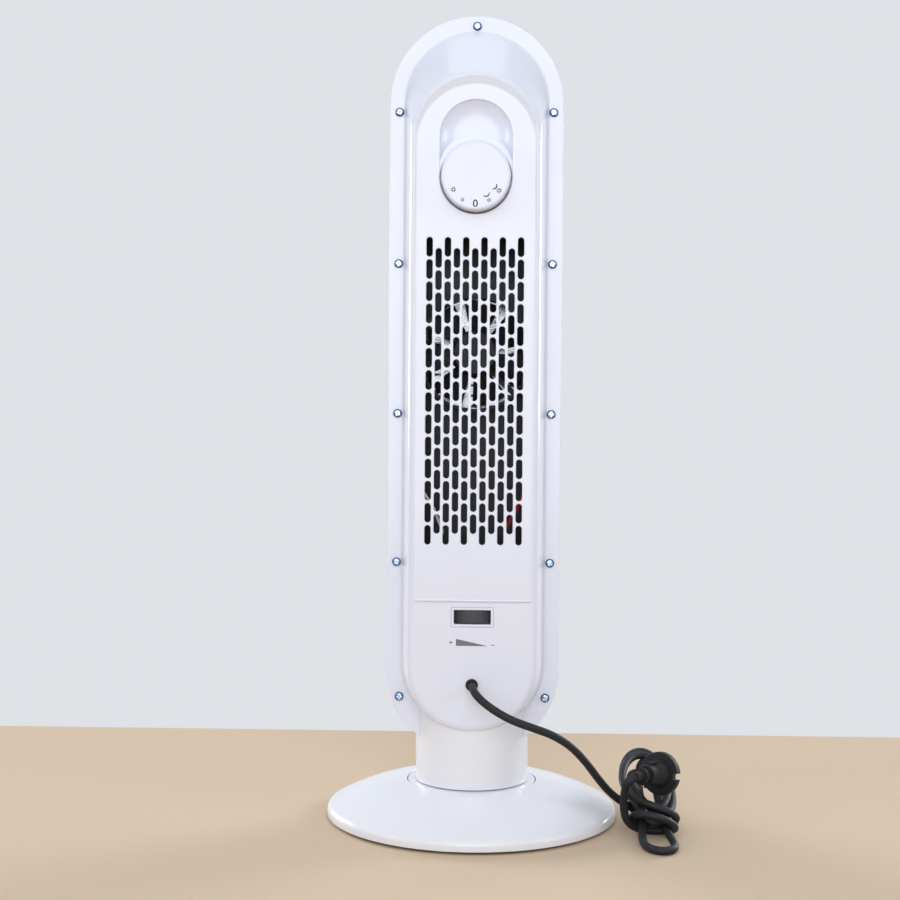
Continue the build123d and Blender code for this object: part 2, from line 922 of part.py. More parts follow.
with BuildPart() as neck_sleeve:
    with BuildSketch(Plane.XY.offset(neck_bottom)):
        Circle(neck_radius)
        Circle(neck_inner, mode=Mode.SUBTRACT)
    extrude(amount=neck_top - neck_bottom)
    with BuildSketch(Plane.XY.offset(turntable_top)):
        with Locations(neck_boss_places):
            RegularPolygon(fixing_boss, boss_sides)
    extrude(amount=neck_boss_top - turntable_top)
    for angle in neck_boss_angles:
        x, y = polar((neck_boss_ring + neck_inner) / 2 + 0.5, angle)
        with BuildSketch(Plane.XY.offset(upstand_top + 1)):
            with Locations((x, y)):
                Rectangle(neck_inner - neck_boss_ring + 1, fixing_boss, rotation=angle)
        extrude(amount=neck_boss_top - upstand_top - 1)
    with BuildSketch(rear_plane(neck_ear_front)):
        for side in (1, -1):
            with BuildLine():
                Polyline(
                    (side * (neck_inner + 0.1), neck_top - 20),
                    (side * (neck_radius + 0.5), neck_top - 20),
                    (side * (neck_ear_x + 5), neck_ear_z - 20),
                    (side * (neck_ear_x + 5), neck_ear_z + 8),
                    (side * (neck_ear_x - 6), neck_ear_z + 8),
                    (side * (neck_inner + 0.1), neck_ear_z - 10),
                    close=True,
                )
            make_face()
    extrude(amount=neck_ear_rear - neck_ear_front)
    for x, z in neck_ear_places:
        place = seat(x, neck_ear_rear, z, rearwards)
        add(fixing_hole(place, neck_ear_rear - neck_ear_front), mode=Mode.SUBTRACT)
    for x, y in neck_boss_places:
        add(fixing_hole(seat(x, y, turntable_top, downwards), 12), mode=Mode.SUBTRACT)

save("neck_sleeve", neck_sleeve)

with BuildPart() as neck_screws:
    for x, y in neck_boss_places:
        add(fixing(seat(x, y, turntable_bottom, downwards), turntable_thick + 11))
    for x, z in neck_ear_places:
        add(fixing(seat(x, neck_ear_rear, z, rearwards), 12))

save("neck_screws", neck_screws)

# Fan: one moulded frame with baffle, duct and spokes, the motor before its hub plate, the rotor behind

with BuildPart() as fan_frame:
    with BuildSketch(rear_plane(fan_front)):
        with Locations((0, (fan_plate_low + fan_plate_high) / 2)):
            RectangleRounded(2 * fan_plate_half, fan_plate_high - fan_plate_low, fan_plate_round)
        with Locations((0, fan_height)):
            Circle(duct_bore, mode=Mode.SUBTRACT)
    extrude(amount=fan_wall)
    with BuildSketch(fan_axis.offset(fan_front)):
        Circle(duct_bore + fan_wall)
        Circle(duct_bore, mode=Mode.SUBTRACT)
    extrude(amount=duct_rear - fan_front)
    with BuildSketch(fan_axis.offset(fan_front)):
        for turn in (45, 135):
            Rectangle(2 * duct_bore + fan_wall, spoke_width, rotation=turn)
        RegularPolygon(fan_cup, 20)
        Circle(rotor_shaft_radius + 1.5, mode=Mode.SUBTRACT)
    extrude(amount=fan_wall)
    for side in (1, -1):
        place = seat(side * fan_motor_screw, fan_front + fan_wall, fan_height, rearwards)
        add(fixing_hole(place, fan_wall), mode=Mode.SUBTRACT)
    for x, z in fan_places:
        place = seat(x, fan_front + fan_wall, z, rearwards)
        add(fixing_hole(place, fan_wall), mode=Mode.SUBTRACT)

save("fan_frame", fan_frame)

with BuildPart() as fan_motor:
    with BuildSketch(fan_axis.offset(fan_front)):
        RegularPolygon(fan_motor_radius, 20)
    extrude(amount=-fan_motor_deep)
    with BuildSketch(fan_axis.offset(fan_front)):
        Circle(rotor_shaft_radius + shaft_clear)
    extrude(amount=2 - fan_motor_deep, mode=Mode.SUBTRACT)
    for side in (1, -1):
        place = seat(side * fan_motor_screw, fan_front, fan_height, rearwards)
        add(fixing_hole(place, 6), mode=Mode.SUBTRACT)

save("fan_motor", fan_motor)

with BuildPart() as fan_screws:
    for x, z in fan_places:
        add(fixing(seat(x, fan_front + fan_wall, z, rearwards), fan_wall + 9))
    for side in (1, -1):
        place = seat(side * fan_motor_screw, fan_front + fan_wall, fan_height, rearwards)
        add(fixing(place, fan_wall + 5))

save("fan_screws", fan_screws)

# One flat, widening blade along its own X, pitched about it, with the rotor's axis as its Z
blade_lean = (0, -sin(radians(blade_pitch)), cos(radians(blade_pitch)))
with BuildPart() as fan_blade:
    with BuildSketch(Plane(origin=(0, 0, 0), x_dir=(1, 0, 0), z_dir=blade_lean)):
        with BuildLine():
            Polyline(
                (rotor_hub - fan_wall / 2, -blade_root_chord / 2),
                (rotor_tip + 2, -blade_tip_chord / 2),
                (rotor_tip + 2, blade_tip_chord / 2),
                (rotor_hub - fan_wall / 2, blade_root_chord / 2),
                close=True,
            )
        make_face()
    extrude(amount=blade_thick / 2, both=True)

with BuildPart() as fan_rotor:
    with BuildSketch(fan_axis.offset(rotor_front)):
        Circle(rotor_hub)
    extrude(amount=rotor_rear - rotor_front)
    chamfer(fan_rotor.faces().sort_by(Axis.Y)[-1].edges(), 1.5)
    with BuildSketch(fan_axis.offset(rotor_front)):
        Circle(rotor_hub - fan_wall)
    extrude(amount=rotor_rear - rotor_front - fan_wall, mode=Mode.SUBTRACT)
    with Locations(fan_axis.offset((rotor_front + rotor_rear) / 2)):
        with PolarLocations(0, blade_count, start_angle=blade_first_angle):
            add(fan_blade.part)
    with BuildSketch(fan_axis.offset(rotor_front)):
        Circle(rotor_tip)
    extrude(amount=rotor_rear - rotor_front, mode=Mode.INTERSECT)
    with BuildSketch(fan_axis.offset(rotor_front)):
        Circle(rotor_boss)
        Circle(rotor_shaft_radius + shaft_clear, mode=Mode.SUBTRACT)
    extrude(amount=rotor_rear - rotor_front - fan_wall)

save("fan_rotor", fan_rotor)

with BuildPart() as rotor_shaft:
    with BuildSketch(fan_axis.offset(fan_front - fan_motor_deep + 3)):
        Circle(rotor_shaft_radius)
    extrude(amount=rotor_rear - fan_wall - 1 - (fan_front - fan_motor_deep + 3))

save("rotor_shaft", rotor_shaft)

# Ceramic heater: frame, element bars and corrugated fin packs between them

fin_space = (2 * (heater_half - heater_wall) - element_count * element_width) / (element_count + 1)
heater_high = fan_height + heater_rise
element_tall = 2 * (heater_rise - heater_wall)

with BuildPart() as ptc_frame:
    with BuildSketch(rear_plane(heater_front)):
        with Locations((0, fan_height)):
            Rectangle(2 * heater_half, 2 * heater_rise)
            Rectangle(2 * (heater_half - heater_wall), element_tall, mode=Mode.SUBTRACT)
    extrude(amount=heater_rear - heater_front)
    with BuildSketch(rear_plane(heater_rear - wall)):
        for x, z in heater_places:
            with Locations(((x + (heater_half - 2) * x / abs(x)) / 2, z)):
                Rectangle(case_post_x - heater_half + 2, 2 * fixing_boss)
            with Locations((x, z)):
                RegularPolygon(fixing_boss, boss_sides)
    extrude(amount=wall)
    for x, z in heater_places:
        add(fixing_hole(seat(x, heater_rear, z, rearwards), wall), mode=Mode.SUBTRACT)

save("ptc_frame", ptc_frame)

element_front = (heater_front + heater_rear - element_depth) / 2

with BuildPart() as ptc_elements:
    for k in range(element_count):
        x = (k - (element_count - 1) / 2) * (element_width + fin_space)
        with BuildSketch(rear_plane(element_front)):
            with Locations((x, fan_height)):
                Rectangle(element_width, element_tall)
        extrude(amount=element_depth)

save("ptc_elements", ptc_elements)

with BuildPart() as ptc_fins:
    folds = int(element_tall / (fin_pitch / 2))
    for k in range(element_count + 1):
        middle = (k - element_count / 2) * (element_width + fin_space)
        left = []
        right = []
        for fold in range(folds + 1):
            side = (fin_space / 2 - fin_thick) * (1 if fold % 2 else -1)
            height = fan_height + (fold / folds - 0.5) * element_tall
            left.append((middle + side - fin_thick, height))
            right.append((middle + side + fin_thick, height))
        with BuildSketch(rear_plane(element_front + 0.5)):
            with BuildLine():
                Polyline(*left, *reversed(right), close=True)
            make_face()
        extrude(amount=element_depth - 1)

save("ptc_fins", ptc_fins)

with BuildPart() as heater_screws:
    for x, z in heater_places:
        add(fixing(seat(x, heater_rear, z, rearwards), wall + 9))

save("heater_screws", heater_screws)

with BuildPart() as thermal_cutout:
    with BuildSketch(Plane.XY.offset(heater_high)):
        with Locations((0, (heater_front + heater_rear) / 2)):
            RegularPolygon(cutout_radius, 16)
    extrude(amount=6)
    with BuildSketch(Plane.XY.offset(heater_high + 6)):
        for side in (1, -1):
            with Locations((side * cutout_radius / 2, (heater_front + heater_rear) / 2)):
                Rectangle(4, 0.8)
    extrude(amount=6)

save("thermal_cutout", thermal_cutout)

# Rotary switch and knob

switch_front = well_floor - wall

with BuildPart() as rotary_switch:
    with BuildSketch(rear_plane(switch_rear)):
        with Locations((0, knob_centre)):
            Rectangle(switch_size, switch_size)
    extrude(amount=switch_front - switch_rear)
    with BuildSketch(rear_plane(switch_front)):
        with Locations((0, knob_centre)):
            Circle(switch_bush)
    extrude(amount=wall)
    with BuildSketch(rear_plane(switch_rear)):
        with Locations((0, knob_centre)):
            with GridLocations(switch_size / 2, switch_size / 2, 2, 2):
                Rectangle(5, 0.8)
    extrude(amount=-6)
    with BuildSketch(rear_plane(switch_rear + 1)):
        with Locations((0, knob_centre)):
            Circle(spindle_radius + shaft_clear)
    extrude(amount=well_floor - switch_rear - 1, mode=Mode.SUBTRACT)
    for side in (1, -1):
        place = seat(side * switch_screw_x, switch_front, knob_centre, rearwards)
        add(fixing_hole(place, 7), mode=Mode.SUBTRACT)

save("rotary_switch", rotary_switch)

with BuildPart() as switch_screws:
    for side in (1, -1):
        add(fixing(seat(side * switch_screw_x, well_floor, knob_centre, rearwards), wall + 6))

save("switch_screws", switch_screws)

with BuildPart() as knob:
    with BuildSketch(rear_plane(knob_back)):
        with Locations((0, knob_centre)):
            Circle(knob_radius)
    extrude(amount=knob_front - knob_back)
    chamfer(knob.faces().sort_by(Axis.Y)[-1].edges(), knob_bevel)
    with BuildSketch(rear_plane(knob_back)):
        with Locations((0, knob_centre)):
            Circle(knob_radius - knob_wall)
    extrude(amount=knob_front - knob_crown - knob_back, mode=Mode.SUBTRACT)
    with BuildSketch(rear_plane(knob_back - 1.5)):
        with Locations((0, knob_centre)):
            Circle(knob_hub)
    extrude(amount=knob_front - knob_crown - knob_back + 1.5)
    with BuildSketch(rear_plane(knob_back - 1.5)):
        with Locations((0, knob_centre)):
            Circle(spindle_radius + shaft_clear)
    extrude(amount=knob_front - knob_crown - knob_back - 1.5, mode=Mode.SUBTRACT)

save("knob", knob)

with BuildPart() as switch_shaft:
    with BuildSketch(rear_plane(switch_rear + 2)):
        with Locations((0, knob_centre)):
            Circle(spindle_radius)
    extrude(amount=knob_front - knob_crown - 4 - switch_rear - 2)

save("switch_shaft", switch_shaft)

# Thermostat: body on two bosses, thumbwheel behind its frame in the window

thermostat_middle = (thermostat_low + thermostat_high) / 2

with BuildPart() as thermostat_body:
    with BuildSketch(Plane.XY.offset(thermostat_low)):
        with Locations((0, (thermostat_front + thermostat_rear) / 2)):
            Rectangle(2 * thermostat_half, thermostat_rear - thermostat_front)
    extrude(amount=thermostat_high - thermostat_low)
    with BuildSketch(rear_plane(thermostat_boss_y)):
        with Locations((0, thermostat_middle)):
            SlotCenterToCenter(2 * thermostat_ear, 2 * fixing_boss)
    extrude(amount=-wall)
    with BuildSketch(Plane.XY.offset(thermostat_low + 8)):
        with Locations((0, wheel_y)):
            Circle(spindle_radius + shaft_clear)
    extrude(amount=thermostat_high - thermostat_low, mode=Mode.SUBTRACT)
    for side in (1, -1):
        place = seat(side * thermostat_ear, thermostat_boss_y - wall, thermostat_middle, (0, -1, 0))
        add(fixing_hole(place, wall), mode=Mode.SUBTRACT)

save("thermostat_body", thermostat_body)

with BuildPart() as thermostat_screws:
    for side in (1, -1):
        place = seat(side * thermostat_ear, thermostat_boss_y - wall, thermostat_middle, (0, -1, 0))
        add(fixing(place, wall + 6))

save("thermostat_screws", thermostat_screws)

with BuildPart() as thermostat_wheel:
    with BuildSketch(Plane.XY.offset(wheel_height - wheel_thick / 2)):
        with Locations((0, wheel_y)):
            Circle(wheel_radius - wheel_rib_depth)
            with PolarLocations(wheel_radius - wheel_rib_depth, wheel_ribs):
                Rectangle(2 * wheel_rib_depth, pi * wheel_radius / wheel_ribs)
            Circle(spindle_radius + shaft_clear, mode=Mode.SUBTRACT)
    extrude(amount=wheel_thick)

save("thermostat_wheel", thermostat_wheel)

with BuildPart() as wheel_spindle:
    with BuildSketch(Plane.XY.offset(thermostat_low + 10)):
        with Locations((0, wheel_y)):
            Circle(spindle_radius)
    extrude(amount=wheel_height + wheel_thick / 2 + 3 - thermostat_low - 10)

save("wheel_spindle", wheel_spindle)

with BuildPart() as thermostat_bezel:
    with BuildSketch(rear_plane(lower_face)):
        with Locations((0, wheel_height)):
            Rectangle(window_width + 2 * bezel_lip, window_tall + 2 * bezel_lip)
    extrude(amount=bezel_proud)
    with BuildSketch(rear_plane(bezel_reach)):
        with Locations((0, wheel_height)):
            Rectangle(window_width + 2 * bezel_wall, window_tall + 2 * bezel_wall)
    extrude(amount=lower_face - bezel_reach)
    with BuildSketch(rear_plane(bezel_reach)):
        with Locations((0, wheel_height)):
            Rectangle(window_width, window_tall)
    extrude(amount=lower_face + bezel_proud - bezel_reach, mode=Mode.SUBTRACT)

save("thermostat_bezel", thermostat_bezel)

# Tip-over switch on the front wall

with BuildPart() as tip_over_switch:
    with BuildSketch(rear_plane(front_face + front_wall)):
        with Locations((-tip_x, tip_z)):
            Rectangle(tip_size[0], tip_size[2])
    extrude(amount=tip_size[1])

save("tip_over_switch", tip_over_switch)

# Wires seen through the slots


def wire(points, bend):
    """A wire along straight runs with round bends."""
    with BuildPart() as one:
        with BuildLine() as path:
            FilletPolyline(*points, radius=bend)
        with BuildSketch(Plane(origin=path.line @ 0, z_dir=path.line % 0)):
            RegularPolygon(wire_radius, 6)
        sweep(path=path.line)
    return one.part


switch_bottom = knob_centre - switch_size / 2 - seat_gap

with BuildPart() as red_wire:
    add(
        wire(
            [
                (-12, 35, switch_bottom),
                (-12, 35, switch_bottom - 7),
                (-41, 45, 528),
                (-46, 46, 505),
                (-46, 46, 300),
                (-38, 45.5, 280),
                (-27, 44, 262),
                (-36, 38, 225),
                (-38, 32, 185),
                (-thermostat_half - 1, 30, thermostat_low + 6),
            ],
            wire_bend,
        )
    )

save("red_wire", red_wire)

with BuildPart() as white_wire:
    add(
        wire(
            [
                (12, 35, switch_bottom),
                (12, 35, switch_bottom - 7),
                (46, 44, 525),
                (46.5, 46, 505),
                (46.5, 46, 300),
                (35, 45.5, 282),
                (27, 44, 262),
                (36, 38, 228),
                (38, 32, 185),
                (26, 34, 150),
                (1.5, 36, cord_hole_height),
                (1.5, gland_front - 1.4, cord_hole_height),
            ],
            wire_bend,
        )
    )

save("white_wire", white_wire)

# Mains lead: bushing, free cord, hank and plug

with BuildPart() as cord_gland:
    with BuildSketch(rear_plane(gland_front)):
        with Locations((0, cord_hole_height)):
            Circle(gland_flange)
    extrude(amount=hollow_depth - gland_front)
    with BuildSketch(rear_plane(hollow_depth)):
        with Locations((0, cord_hole_height)):
            Circle(cord_hole_radius - 0.1)
    extrude(amount=gland_rear - hollow_depth)
    with BuildSketch(rear_plane(gland_front)):
        with Locations((0, cord_hole_height)):
            Circle(cord_radius + shaft_clear)
    extrude(amount=gland_rear - gland_front, mode=Mode.SUBTRACT)

save("cord_gland", cord_gland)

cord_points = [
    (0, 48, cord_hole_height),
    (0, 64, cord_hole_height),
    (-5, 79, 121.5),
    (-18, 89, 113),
    (-34, 94, 105),
    (-52, 93, 98.6),
    (-70, 90, 92),
    (-86, 84, 81),
    (-100, 76, 65),
    (-111.5, 67, 48),
    (-123, 59, 34),
    (-138, 50, 22),
]


def bend_radii(points):
    """For each inner point, 0.45 of the shorter run beside it over the tangent of half the turn."""
    radii = []
    for before, here, after in zip(points, points[1:], points[2:]):
        first = Vector(*here) - Vector(*before)
        second = Vector(*after) - Vector(*here)
        turn = radians(first.get_angle(second))
        radii.append(0.45 * min(first.length, second.length) / tan(turn / 2))
    return radii


cord_bends = bend_radii(cord_points)
print("cord bend radii", [round(radius, 1) for radius in cord_bends])

with BuildPart() as cord_tube:
    with BuildLine() as cord_path:
        FilletPolyline(*cord_points, radius=cord_bends)
    with BuildSketch(Plane(origin=cord_path.line @ 0, z_dir=cord_path.line % 0)):
        RegularPolygon(cord_radius, cord_sides)
    sweep(path=cord_path.line)
cord_length = sum(edge.length for edge in cord_path.edges())
print("cord length", round(cord_length, 1))
cord_section = cord_sides / 2 * cord_radius**2 * sin(2 * pi / cord_sides)
print("cord volume over section times length", cord_tube.part.volume / (cord_section * cord_length))

save("cord_tube", cord_tube)

hank_near = 130.0
hank_far = -36.0
hank_inner = -133.0
hank_outer = -184.0

with BuildPart() as cord_hank:
    with BuildSketch(Plane.YZ.offset(hank_outer)):
        with BuildLine():
            Polyline(
                (hank_far, 12),
                (hank_far + 10, 0),
                (hank_near - 3, 0),
                (hank_near, 3),
                (hank_near - 2, 8),
                (92, 12),
                (78, 31),
                (58, 34),
                (40, 52),
                (0, 66),
                (-24, 63),
                (hank_far, 50),
                (hank_far, 12),
            )
        make_face()
    extrude(amount=hank_inner - hank_outer)
    with BuildSketch(Plane.XY):
        with BuildLine():
            Polyline(
                (hank_inner - 6, 60),
                (hank_inner - 4, 80),
                (hank_inner - 10, 100),
                (-150, 114),
                (-162, hank_near),
                (-174, hank_near),
                (-181, 112),
                (hank_outer, 70),
                (hank_outer, 10),
                (-176, hank_far + 8),
                (-160, hank_far),
                (-146, hank_far + 8),
                (-136, 0),
                (hank_inner, 40),
                (hank_inner - 6, 60),
            )
        make_face()
    extrude(amount=100, mode=Mode.INTERSECT)

save("cord_hank", cord_hank)

# Plug: round face, tapered grip and strain relief, lying in the hank with its grip towards the rear

plug_centre = (-171.0, 44.0, 49.0)
plug_axis = (0.62, 0.62, 0.48)
plug_radius = 18.75
plug_face_thick = 6.0
plug_grip_radius = 9.0
plug_grip_length = 22.0
plug_tail_length = 16.0
pin_radius = 2.4
pin_length = 19.0
pin_spacing = 19.0
notch_width = 5.5
notch_depth = 4.5

plug_plane = Plane(origin=plug_centre, x_dir=(0.71, -0.71, 0), z_dir=plug_axis)

with BuildPart() as plug_body:
    with BuildSketch(plug_plane):
        Circle(plug_radius)
        for side in (1, -1):
            with Locations((side * plug_radius, 0)):
                Rectangle(2 * notch_depth, notch_width, mode=Mode.SUBTRACT)
    extrude(amount=plug_face_thick)
    with BuildSketch(plug_plane.offset(plug_face_thick)):
        RegularPolygon(plug_grip_radius + 3, 12)
    extrude(amount=plug_grip_length, taper=8)
    with BuildSketch(plug_plane.offset(plug_face_thick + plug_grip_length)):
        RegularPolygon(cord_radius + 3, 10)
    extrude(amount=plug_tail_length, taper=6)

save("plug_body", plug_body)

with BuildPart() as plug_pins:
    with BuildSketch(plug_plane):
        with GridLocations(pin_spacing, 0, 2, 1):
            RegularPolygon(pin_radius, 8)
    extrude(amount=-pin_length)

save("plug_pins", plug_pins)
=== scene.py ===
import math

import bmesh
import bpy
from mathutils import Matrix, Vector


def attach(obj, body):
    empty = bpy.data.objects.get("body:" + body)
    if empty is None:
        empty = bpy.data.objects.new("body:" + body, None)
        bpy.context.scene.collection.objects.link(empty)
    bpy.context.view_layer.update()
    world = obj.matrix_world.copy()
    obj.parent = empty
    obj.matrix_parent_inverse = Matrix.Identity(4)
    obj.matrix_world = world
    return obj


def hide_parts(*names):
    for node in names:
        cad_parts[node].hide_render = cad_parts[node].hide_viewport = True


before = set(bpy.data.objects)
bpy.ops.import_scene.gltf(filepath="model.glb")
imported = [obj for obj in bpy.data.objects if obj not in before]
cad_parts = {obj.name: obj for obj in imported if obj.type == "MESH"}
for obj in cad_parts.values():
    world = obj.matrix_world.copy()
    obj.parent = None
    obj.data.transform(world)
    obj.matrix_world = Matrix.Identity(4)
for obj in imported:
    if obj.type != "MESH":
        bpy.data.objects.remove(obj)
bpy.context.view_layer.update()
mm = 0.001
print("frame loaded, nodes:", len(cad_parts))


# working as in the viewport: one piece picked, edit mode opened and closed
def clearPick():
    if bpy.context.object and bpy.context.object.mode != "OBJECT":
        bpy.ops.object.mode_set(mode="OBJECT")
    bpy.ops.object.select_all(action="DESELECT")


def pickOnly(piece):
    clearPick()
    piece.select_set(True)
    bpy.context.view_layer.objects.active = piece


def openEdit(piece, kind="FACE"):
    pickOnly(piece)
    bpy.ops.object.mode_set(mode="EDIT")
    bpy.ops.mesh.select_mode(type=kind)


def closeEdit():
    bpy.ops.object.mode_set(mode="OBJECT")


# the middle of a vertex, edge or face, in millimetres
def middle(item):
    if isinstance(item, bmesh.types.BMVert):
        return item.co / mm
    if isinstance(item, bmesh.types.BMEdge):
        return (item.verts[0].co + item.verts[1].co) / 2 / mm
    return item.calc_center_median() / mm


def pickParts(kind, test):
    bpy.ops.mesh.select_mode(type=kind)
    bpy.ops.mesh.select_all(action="DESELECT")
    mesh = bmesh.from_edit_mesh(bpy.context.object.data)
    items = {"VERT": mesh.verts, "EDGE": mesh.edges, "FACE": mesh.faces}[kind]
    for item in items:
        if test(item):
            item.select_set(True)
    bmesh.update_edit_mesh(bpy.context.object.data)


def placeNow(piece):
    pickOnly(piece)
    bpy.ops.object.transform_apply(location=True, rotation=True, scale=True)


def facesOutwards(piece):
    openEdit(piece)
    bpy.ops.mesh.select_all(action="SELECT")
    bpy.ops.mesh.normals_make_consistent(inside=False)
    closeEdit()


# a body drawn out ring by ring from one circle. A ring is (along, radius), or (along, half width, lower centre, upper centre) for an upright long-hole outline
def ringBody(name, rings, axis="Y", centre=(0, 0), steps=64, hollow=False):
    grow = 1 / math.cos(math.pi / steps)
    full = [ring if len(ring) == 4 else (*ring, centre[1], centre[1]) for ring in rings]
    turn = (math.pi / 2, math.pi / steps, 0) if axis == "Y" else (0, 0, math.pi / steps)
    alongWay = Vector((0, 1, 0)) if axis == "Y" else Vector((0, 0, 1))
    upWay = Vector((0, 0, 1)) if axis == "Y" else Vector((0, 1, 0))
    clearPick()
    bpy.ops.mesh.primitive_circle_add(
        vertices=steps,
        radius=full[0][1] * grow * mm,
        fill_type="NOTHING" if hollow else "NGON",
        rotation=turn,
    )
    body = bpy.context.object
    body.name = body.data.name = name
    placeNow(body)
    openEdit(body, "VERT")

    def moveHalf(chosen, upper, shift, stretch, pivot):
        mesh = bmesh.from_edit_mesh(body.data)
        mesh.verts.ensure_lookup_table()
        bpy.ops.mesh.select_all(action="DESELECT")
        for index in chosen[upper]:
            mesh.verts[index].select_set(True)
        mesh.select_flush(True)
        if abs(stretch - 1) > 1e-9:
            flat = tuple(1 if way else stretch for way in alongWay)
            bpy.ops.transform.resize(value=flat, center_override=pivot)
        if shift.length > 1e-12:
            bpy.ops.transform.translate(value=shift)

    mesh = bmesh.from_edit_mesh(body.data)
    halves = {
        True: [v.index for v in mesh.verts if v.co @ upWay > 0],
        False: [v.index for v in mesh.verts if v.co @ upWay < 0],
    }
    side = Vector((centre[0] * mm, 0, 0))
    for upper in (True, False):
        level = full[0][3] if upper else full[0][2]
        shift = side + (full[0][0] * alongWay + level * upWay) * mm
        moveHalf(halves, upper, shift, 1, (0, 0, 0))
    first = halves
    for before, here in zip(full, full[1:]):
        mesh = bmesh.from_edit_mesh(body.data)
        mesh.verts.ensure_lookup_table()
        for v in mesh.verts:
            v.select_set(False)
        for index in halves[True] + halves[False]:
            mesh.verts[index].select_set(True)
        mesh.select_flush(True)
        step = (here[0] - before[0]) * mm * alongWay
        bpy.ops.mesh.extrude_region_move(TRANSFORM_OT_translate={"value": step})
        mesh = bmesh.from_edit_mesh(body.data)
        mesh.verts.index_update()
        cut = (before[2] + before[3]) / 2 * mm
        found = [v for v in mesh.verts if v.select]
        halves = {
            True: [v.index for v in found if v.co @ upWay > cut],
            False: [v.index for v in found if v.co @ upWay <= cut],
        }
        for upper in (True, False):
            old, new = (before[3], here[3]) if upper else (before[2], here[2])
            pivot = side + (here[0] * alongWay + old * upWay) * mm
            moveHalf(halves, upper, (new - old) * mm * upWay, here[1] / before[1], pivot)
    if hollow:
        mesh = bmesh.from_edit_mesh(body.data)
        mesh.verts.ensure_lookup_table()
        bpy.ops.mesh.select_all(action="DESELECT")
        for index in halves[True] + halves[False] + first[True] + first[False]:
            mesh.verts[index].select_set(True)
        mesh.select_flush(True)
        bpy.ops.mesh.bridge_edge_loops()
    bpy.ops.mesh.select_all(action="SELECT")
    bpy.ops.mesh.normals_make_consistent(inside=False)
    closeEdit()
    return body


# a box between two corners in millimetres, its edges rounded
def block(name, low, high, edge=0, segments=2):
    clearPick()
    size = [b - a for a, b in zip(low, high)]
    spot = [(a + b) / 2 * mm for a, b in zip(low, high)]
    bpy.ops.mesh.primitive_cube_add(size=mm, location=spot, scale=size)
    body = bpy.context.object
    body.name = body.data.name = name
    placeNow(body)
    if edge:
        openEdit(body, "EDGE")
        bpy.ops.mesh.select_all(action="SELECT")
        bpy.ops.mesh.bevel(offset=edge * mm, segments=segments, profile=0.5, affect="EDGES")
        closeEdit()
    return body


# adds a modifier, sets it and applies it
def modify(piece, kind, **settings):
    pickOnly(piece)
    made = piece.modifiers.new(kind.lower(), kind)
    for key, value in settings.items():
        setattr(made, key, value)
    bpy.ops.object.modifier_apply(modifier=made.name)


def carve(piece, cutter, how="DIFFERENCE"):
    modify(piece, "BOOLEAN", operation=how, solver="EXACT", object=cutter)
    bpy.data.objects.remove(cutter)


# a copy with its own mesh, moved by millimetres and turned about a pivot
def copyTo(piece, shift=(0, 0, 0), turn=0, axis="Z", pivot=(0, 0, 0)):
    clearPick()
    twin = piece.copy()
    twin.data = piece.data.copy()
    bpy.context.scene.collection.objects.link(twin)
    about = Matrix.Translation(Vector(pivot) * mm)
    spin = about @ Matrix.Rotation(math.radians(turn), 4, axis) @ about.inverted()
    twin.data.transform(Matrix.Translation(Vector(shift) * mm) @ spin)
    return twin


def joinAll(pieces, name):
    clearPick()
    for piece in pieces:
        piece.select_set(True)
    bpy.context.view_layer.objects.active = pieces[0]
    if len(pieces) > 1:
        bpy.ops.object.join()
    pieces[0].name = pieces[0].data.name = name
    return pieces[0]


# smooth shading with sharp edges kept, weighted so that large faces stay flat
def smoothOff(piece, angle=32, weigh=True):
    pickOnly(piece)
    bpy.ops.object.shade_smooth_by_angle(angle=math.radians(angle))
    if weigh:
        modify(piece, "WEIGHTED_NORMAL", keep_sharp=True, weight=60)


def dress(piece, body, material, nodes=()):
    piece.data.materials.clear()
    piece.data.materials.append(material)
    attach(piece, body)
    if nodes:
        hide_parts(*nodes)
    print("piece done:", piece.name)
    return piece


# points along the arc through three points
def arcThrough(start, over, end, runs):
    ax, ay, bx, by, cx, cy = *start, *over, *end
    d = 2 * (ax * (by - cy) + bx * (cy - ay) + cx * (ay - by))
    a2, b2, c2 = ax * ax + ay * ay, bx * bx + by * by, cx * cx + cy * cy
    ux = (a2 * (by - cy) + b2 * (cy - ay) + c2 * (ay - by)) / d
    uy = (a2 * (cx - bx) + b2 * (ax - cx) + c2 * (bx - ax)) / d
    radius = math.hypot(ax - ux, ay - uy)
    t0, tm, t1 = (math.atan2(y - uy, x - ux) for x, y in (start, over, end))
    sweep = (t1 - t0) % math.tau
    if (tm - t0) % math.tau > sweep:
        sweep -= math.tau
    turns = [t0 + sweep * k / runs for k in range(runs + 1)]
    return [(ux + radius * math.cos(t), uy + radius * math.sin(t)) for t in turns]


# camera at the photographed angle
cameraView = {
    "place": (-10.16, 1336.4, 357.97),
    "yaw": 1.378,
    "pitch": 1.101,
    "roll": 0.459,
    "sensor": 36,
    "lens": 58.731,
}
yaw, pitch, roll = (math.radians(cameraView[key]) for key in ("yaw", "pitch", "roll"))
ahead = Vector(
    (math.sin(yaw) * math.cos(pitch), -math.cos(yaw) * math.cos(pitch), -math.sin(pitch))
)
sideways = ahead.cross(Vector((0, 0, 1))).normalized()
overhead = sideways.cross(ahead)
imageRight = math.cos(roll) * sideways + math.sin(roll) * overhead
imageUp = math.cos(roll) * overhead - math.sin(roll) * sideways
cameraData = bpy.data.cameras.new("camera")
cameraData.sensor_width = cameraView["sensor"]
cameraData.lens = cameraView["lens"]
camera = bpy.data.objects.new("camera", cameraData)
bpy.context.scene.collection.objects.link(camera)
turned = Matrix((imageRight, imageUp, -ahead)).transposed().to_4x4()
camera.matrix_world = Matrix.Translation(Vector(cameraView["place"]) * mm) @ turned
bpy.context.scene.camera = camera
print("camera set")


